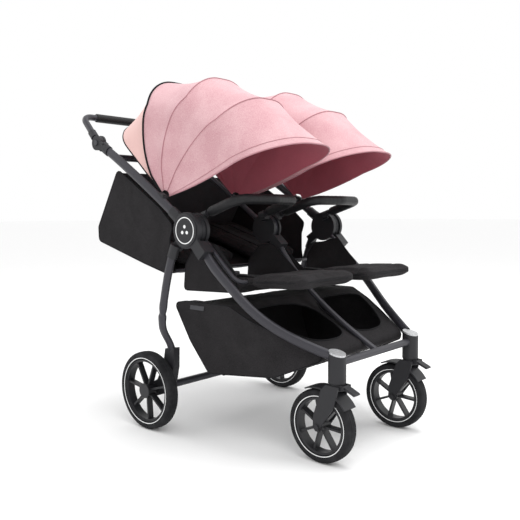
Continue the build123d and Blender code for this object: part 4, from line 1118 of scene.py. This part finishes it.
class PUSHCHAIR_OT_wheels(bpy.types.Operator):
    """Tyres with grooves round the tread, reflective rings and the rims' lips"""
    bl_idname = "pushchair.wheels"
    bl_label = "Wheels"

    def execute(self, context):
        s = context.scene.pushchair_sizes
        for kind, rim, ring in (("rear", 0.101, 0.1062), ("front", 0.081, 0.0852)):
            joint = JOINT_AT[f"{kind}_wheel_spin_left"]
            low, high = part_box(f"{kind}_tyre_left")
            radius, width = (high.z - low.z) / 2, high.x - low.x
            made = tyre(f"{kind}_tyre_rubber_left", radius, width, rim, s.tread_grooves)
            middle, tall = (radius + rim) / 2, (radius - rim) / 2
            share = abs((ring - middle) / tall)
            face = width / 2 * (1 - share ** SQUARE) ** (1 / SQUARE)
            rings = [side_ring(f"{kind}_ring_{k}_left", ring, x, s.ring_width)
                     for k, x in enumerate((face, -face))]
            rings += [side_ring(f"{kind}_rim_lip_{k}_left", rim - 0.0012, sign * (width / 2 - LIP_IN), LIP_WIDE)
                      for k, sign in enumerate((1, -1))]
            for lip in rings[2:]:
                lip.data.materials[0] = FINISH["rim"]
            ring_piece = joined(f"{kind}_wheel_rings_left", rings)
            for piece, nodes, slot in ((made, [kind + "_tyre_{}"], "tyre"), (ring_piece, [], "silver_cap")):
                piece.data.transform(Matrix.Translation(joint))
                settle_both(piece, kind + "_wheel_{}", slot, nodes)
        return {"FINISHED"}


class PUSHCHAIR_OT_medallions(bpy.types.Operator):
    """A raised ring and three plain dots on each side hub"""
    bl_idname = "pushchair.medallions"
    bl_label = "Hub medallions"

    def execute(self, context):
        _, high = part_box("hub_covers")
        bpy.ops.mesh.primitive_torus_add(major_segments=96, minor_segments=10, major_radius=0.0385,
                                         minor_radius=0.0016, rotation=(0, math.pi / 2, 0))
        ring = named("hub_ring_left", FINISH["ring"])
        place_applied(ring)
        for v in ring.data.vertices:
            v.co.x *= 0.5
        parts = [ring]
        for k in range(3):
            turn = math.radians(90 + 120 * k)
            at = (0, 0.0115 * math.cos(turn), 0.0115 * math.sin(turn))
            bpy.ops.mesh.primitive_cylinder_add(vertices=32, radius=0.0052, depth=0.0012, location=at,
                                                rotation=(0, math.pi / 2, 0))
            dot = named(f"hub_dot_{k}", FINISH["ring"])
            place_applied(dot)
            modify(dot, "BEVEL", width=0.0003, segments=2)
            parts.append(dot)
        piece = joined("hub_medallion_left", parts)
        smooth(piece)
        piece.data.transform(Matrix.Translation(Vector((high.x, HUB.y, HUB.z))))
        settle_both(piece, "front_frame", "silver_cap")
        return {"FINISHED"}


# ---------------------------------------------------------------- finishes of the fixed parts
CARRIED = {
    "paint": ("front_tubes", "push_tubes", "rear_legs", "handle_bar", "front_crossbar", "rear_cross_tube",
              "push_cross_tubes", "centre_post", "centre_tube", "seat_front_tube", "bumper_bar_left",
              "bumper_bar_right", "hood_rear_bows"),
    "plastic": ("side_hubs", "centre_hub", "push_knuckles", "leg_knuckles", "leg_sockets", "handle_joint_forks",
                "handle_joint_discs", "swivel_housings", "hood_clips", "brake_pedal", "fork_left", "fork_right",
                "swivel_lock_left", "swivel_lock_right"),
    "rim": ("rear_rim_left", "rear_rim_right", "front_rim_left", "front_rim_right", "hub_covers"),
    "button": ("handle_button_left", "handle_button_right"),
    "silver": ("swivel_caps",),
    "steel": ("rear_axles",),
    "leather": ("handle_grip",),
}


class PUSHCHAIR_OT_finishes(bpy.types.Operator):
    """Paint, moulded plastic, leather and lacquer on the parts that keep their shape"""
    bl_idname = "pushchair.finishes"
    bl_label = "Finishes"

    def execute(self, context):
        make_finishes()
        for kind, names in CARRIED.items():
            for name in names:
                node = NODES[name]
                node.data.materials.clear()
                node.data.materials.append(FINISH[kind])
                only(node)
                bpy.ops.object.shade_smooth_by_angle(angle=math.radians(32))
        return {"FINISHED"}


# ---------------------------------------------------------------- stage
CAMERA_AT = (-1.6466, -1.4851, 0.6978)
YAW, PITCH, ROLL = (math.radians(a) for a in (48.218, -4.116, 0.306))
LENS, SENSOR = 44.94, 36
LAMPS = (  # name, place, power in watts, width in metres
    ("key", (-1.6, -2.8, 3.4), 34, 2.2), ("fill", (3.0, -2.2, 2.2), 18, 2.6),
    ("back", (-1.5, 3.0, 2.8), 20, 2.4), ("top", (0.3, -0.7, 3.6), 52, 1.6),
)


class PUSHCHAIR_OT_stage(bpy.types.Operator):
    """A pale floor, soft studio light and the camera"""
    bl_idname = "pushchair.stage"
    bl_label = "Stage"

    def execute(self, context):
        scene = context.scene
        pick_none()
        bpy.ops.mesh.primitive_plane_add(size=120, location=(0, 0, -0.0005))
        floor = bpy.context.object
        floor.name = "floor"
        floor.data.materials.append(finish("white_floor", linear("#FBFBFB"), 0.95)[0])
        world = bpy.data.worlds.new("studio")
        world.use_nodes = True
        world.node_tree.nodes["Background"].inputs["Color"].default_value = (1, 1, 1, 1)
        world.node_tree.nodes["Background"].inputs["Strength"].default_value = 1.0
        scene.world = world
        target = Vector((0, 0, 0.6))
        for name, at, power, size in LAMPS:
            bpy.ops.object.light_add(type="AREA", location=at)
            lamp = bpy.context.object
            lamp.name = name + "_light"
            lamp.data.energy, lamp.data.size = power, size
            lamp.rotation_euler = (target - Vector(at)).to_track_quat("-Z", "Y").to_euler()
        bpy.ops.object.camera_add(location=CAMERA_AT)
        camera = bpy.context.object
        ahead = Vector((math.sin(YAW) * math.cos(PITCH), math.cos(YAW) * math.cos(PITCH), math.sin(PITCH)))
        turn = ahead.to_track_quat("-Z", "Y").to_matrix() @ Matrix.Rotation(-ROLL, 3, "Z")
        camera.rotation_euler = turn.to_euler()
        camera.data.lens, camera.data.sensor_width = LENS, SENSOR
        scene.camera = camera
        scene.view_settings.view_transform = "Standard"
        return {"FINISHED"}


class PUSHCHAIR_PT_panel(bpy.types.Panel):
    """Sizes, colours and pieces of the pushchair"""
    bl_label = "Twin pushchair"
    bl_idname = "PUSHCHAIR_PT_panel"
    bl_space_type = "VIEW_3D"
    bl_region_type = "UI"
    bl_category = "Pushchair"

    def draw(self, context):
        for group in (context.scene.pushchair_sizes, context.scene.pushchair_colours):
            box = self.layout.box()
            for name in group.__annotations__:
                box.prop(group, name)
        for operator in OPERATORS:
            self.layout.operator(operator.bl_idname)


OPERATORS = (PUSHCHAIR_OT_finishes, PUSHCHAIR_OT_stage, PUSHCHAIR_OT_hoods, PUSHCHAIR_OT_pads,
             PUSHCHAIR_OT_shells, PUSHCHAIR_OT_bumpers, PUSHCHAIR_OT_wheels, PUSHCHAIR_OT_medallions)
CLASSES = (PushchairColours, PushchairSizes) + OPERATORS + (PUSHCHAIR_PT_panel,)


def register():
    for cls in CLASSES:
        bpy.utils.register_class(cls)
    bpy.types.Scene.pushchair_colours = PointerProperty(type=PushchairColours)
    bpy.types.Scene.pushchair_sizes = PointerProperty(type=PushchairSizes)


def unregister():
    del bpy.types.Scene.pushchair_sizes
    del bpy.types.Scene.pushchair_colours
    for cls in reversed(CLASSES):
        bpy.utils.unregister_class(cls)


def main():
    register()
    for operator in OPERATORS:
        pick_none()
        getattr(bpy.ops.pushchair, operator.bl_idname.split(".")[1])()
    pick_none()


if __name__ == "__main__":
    main()
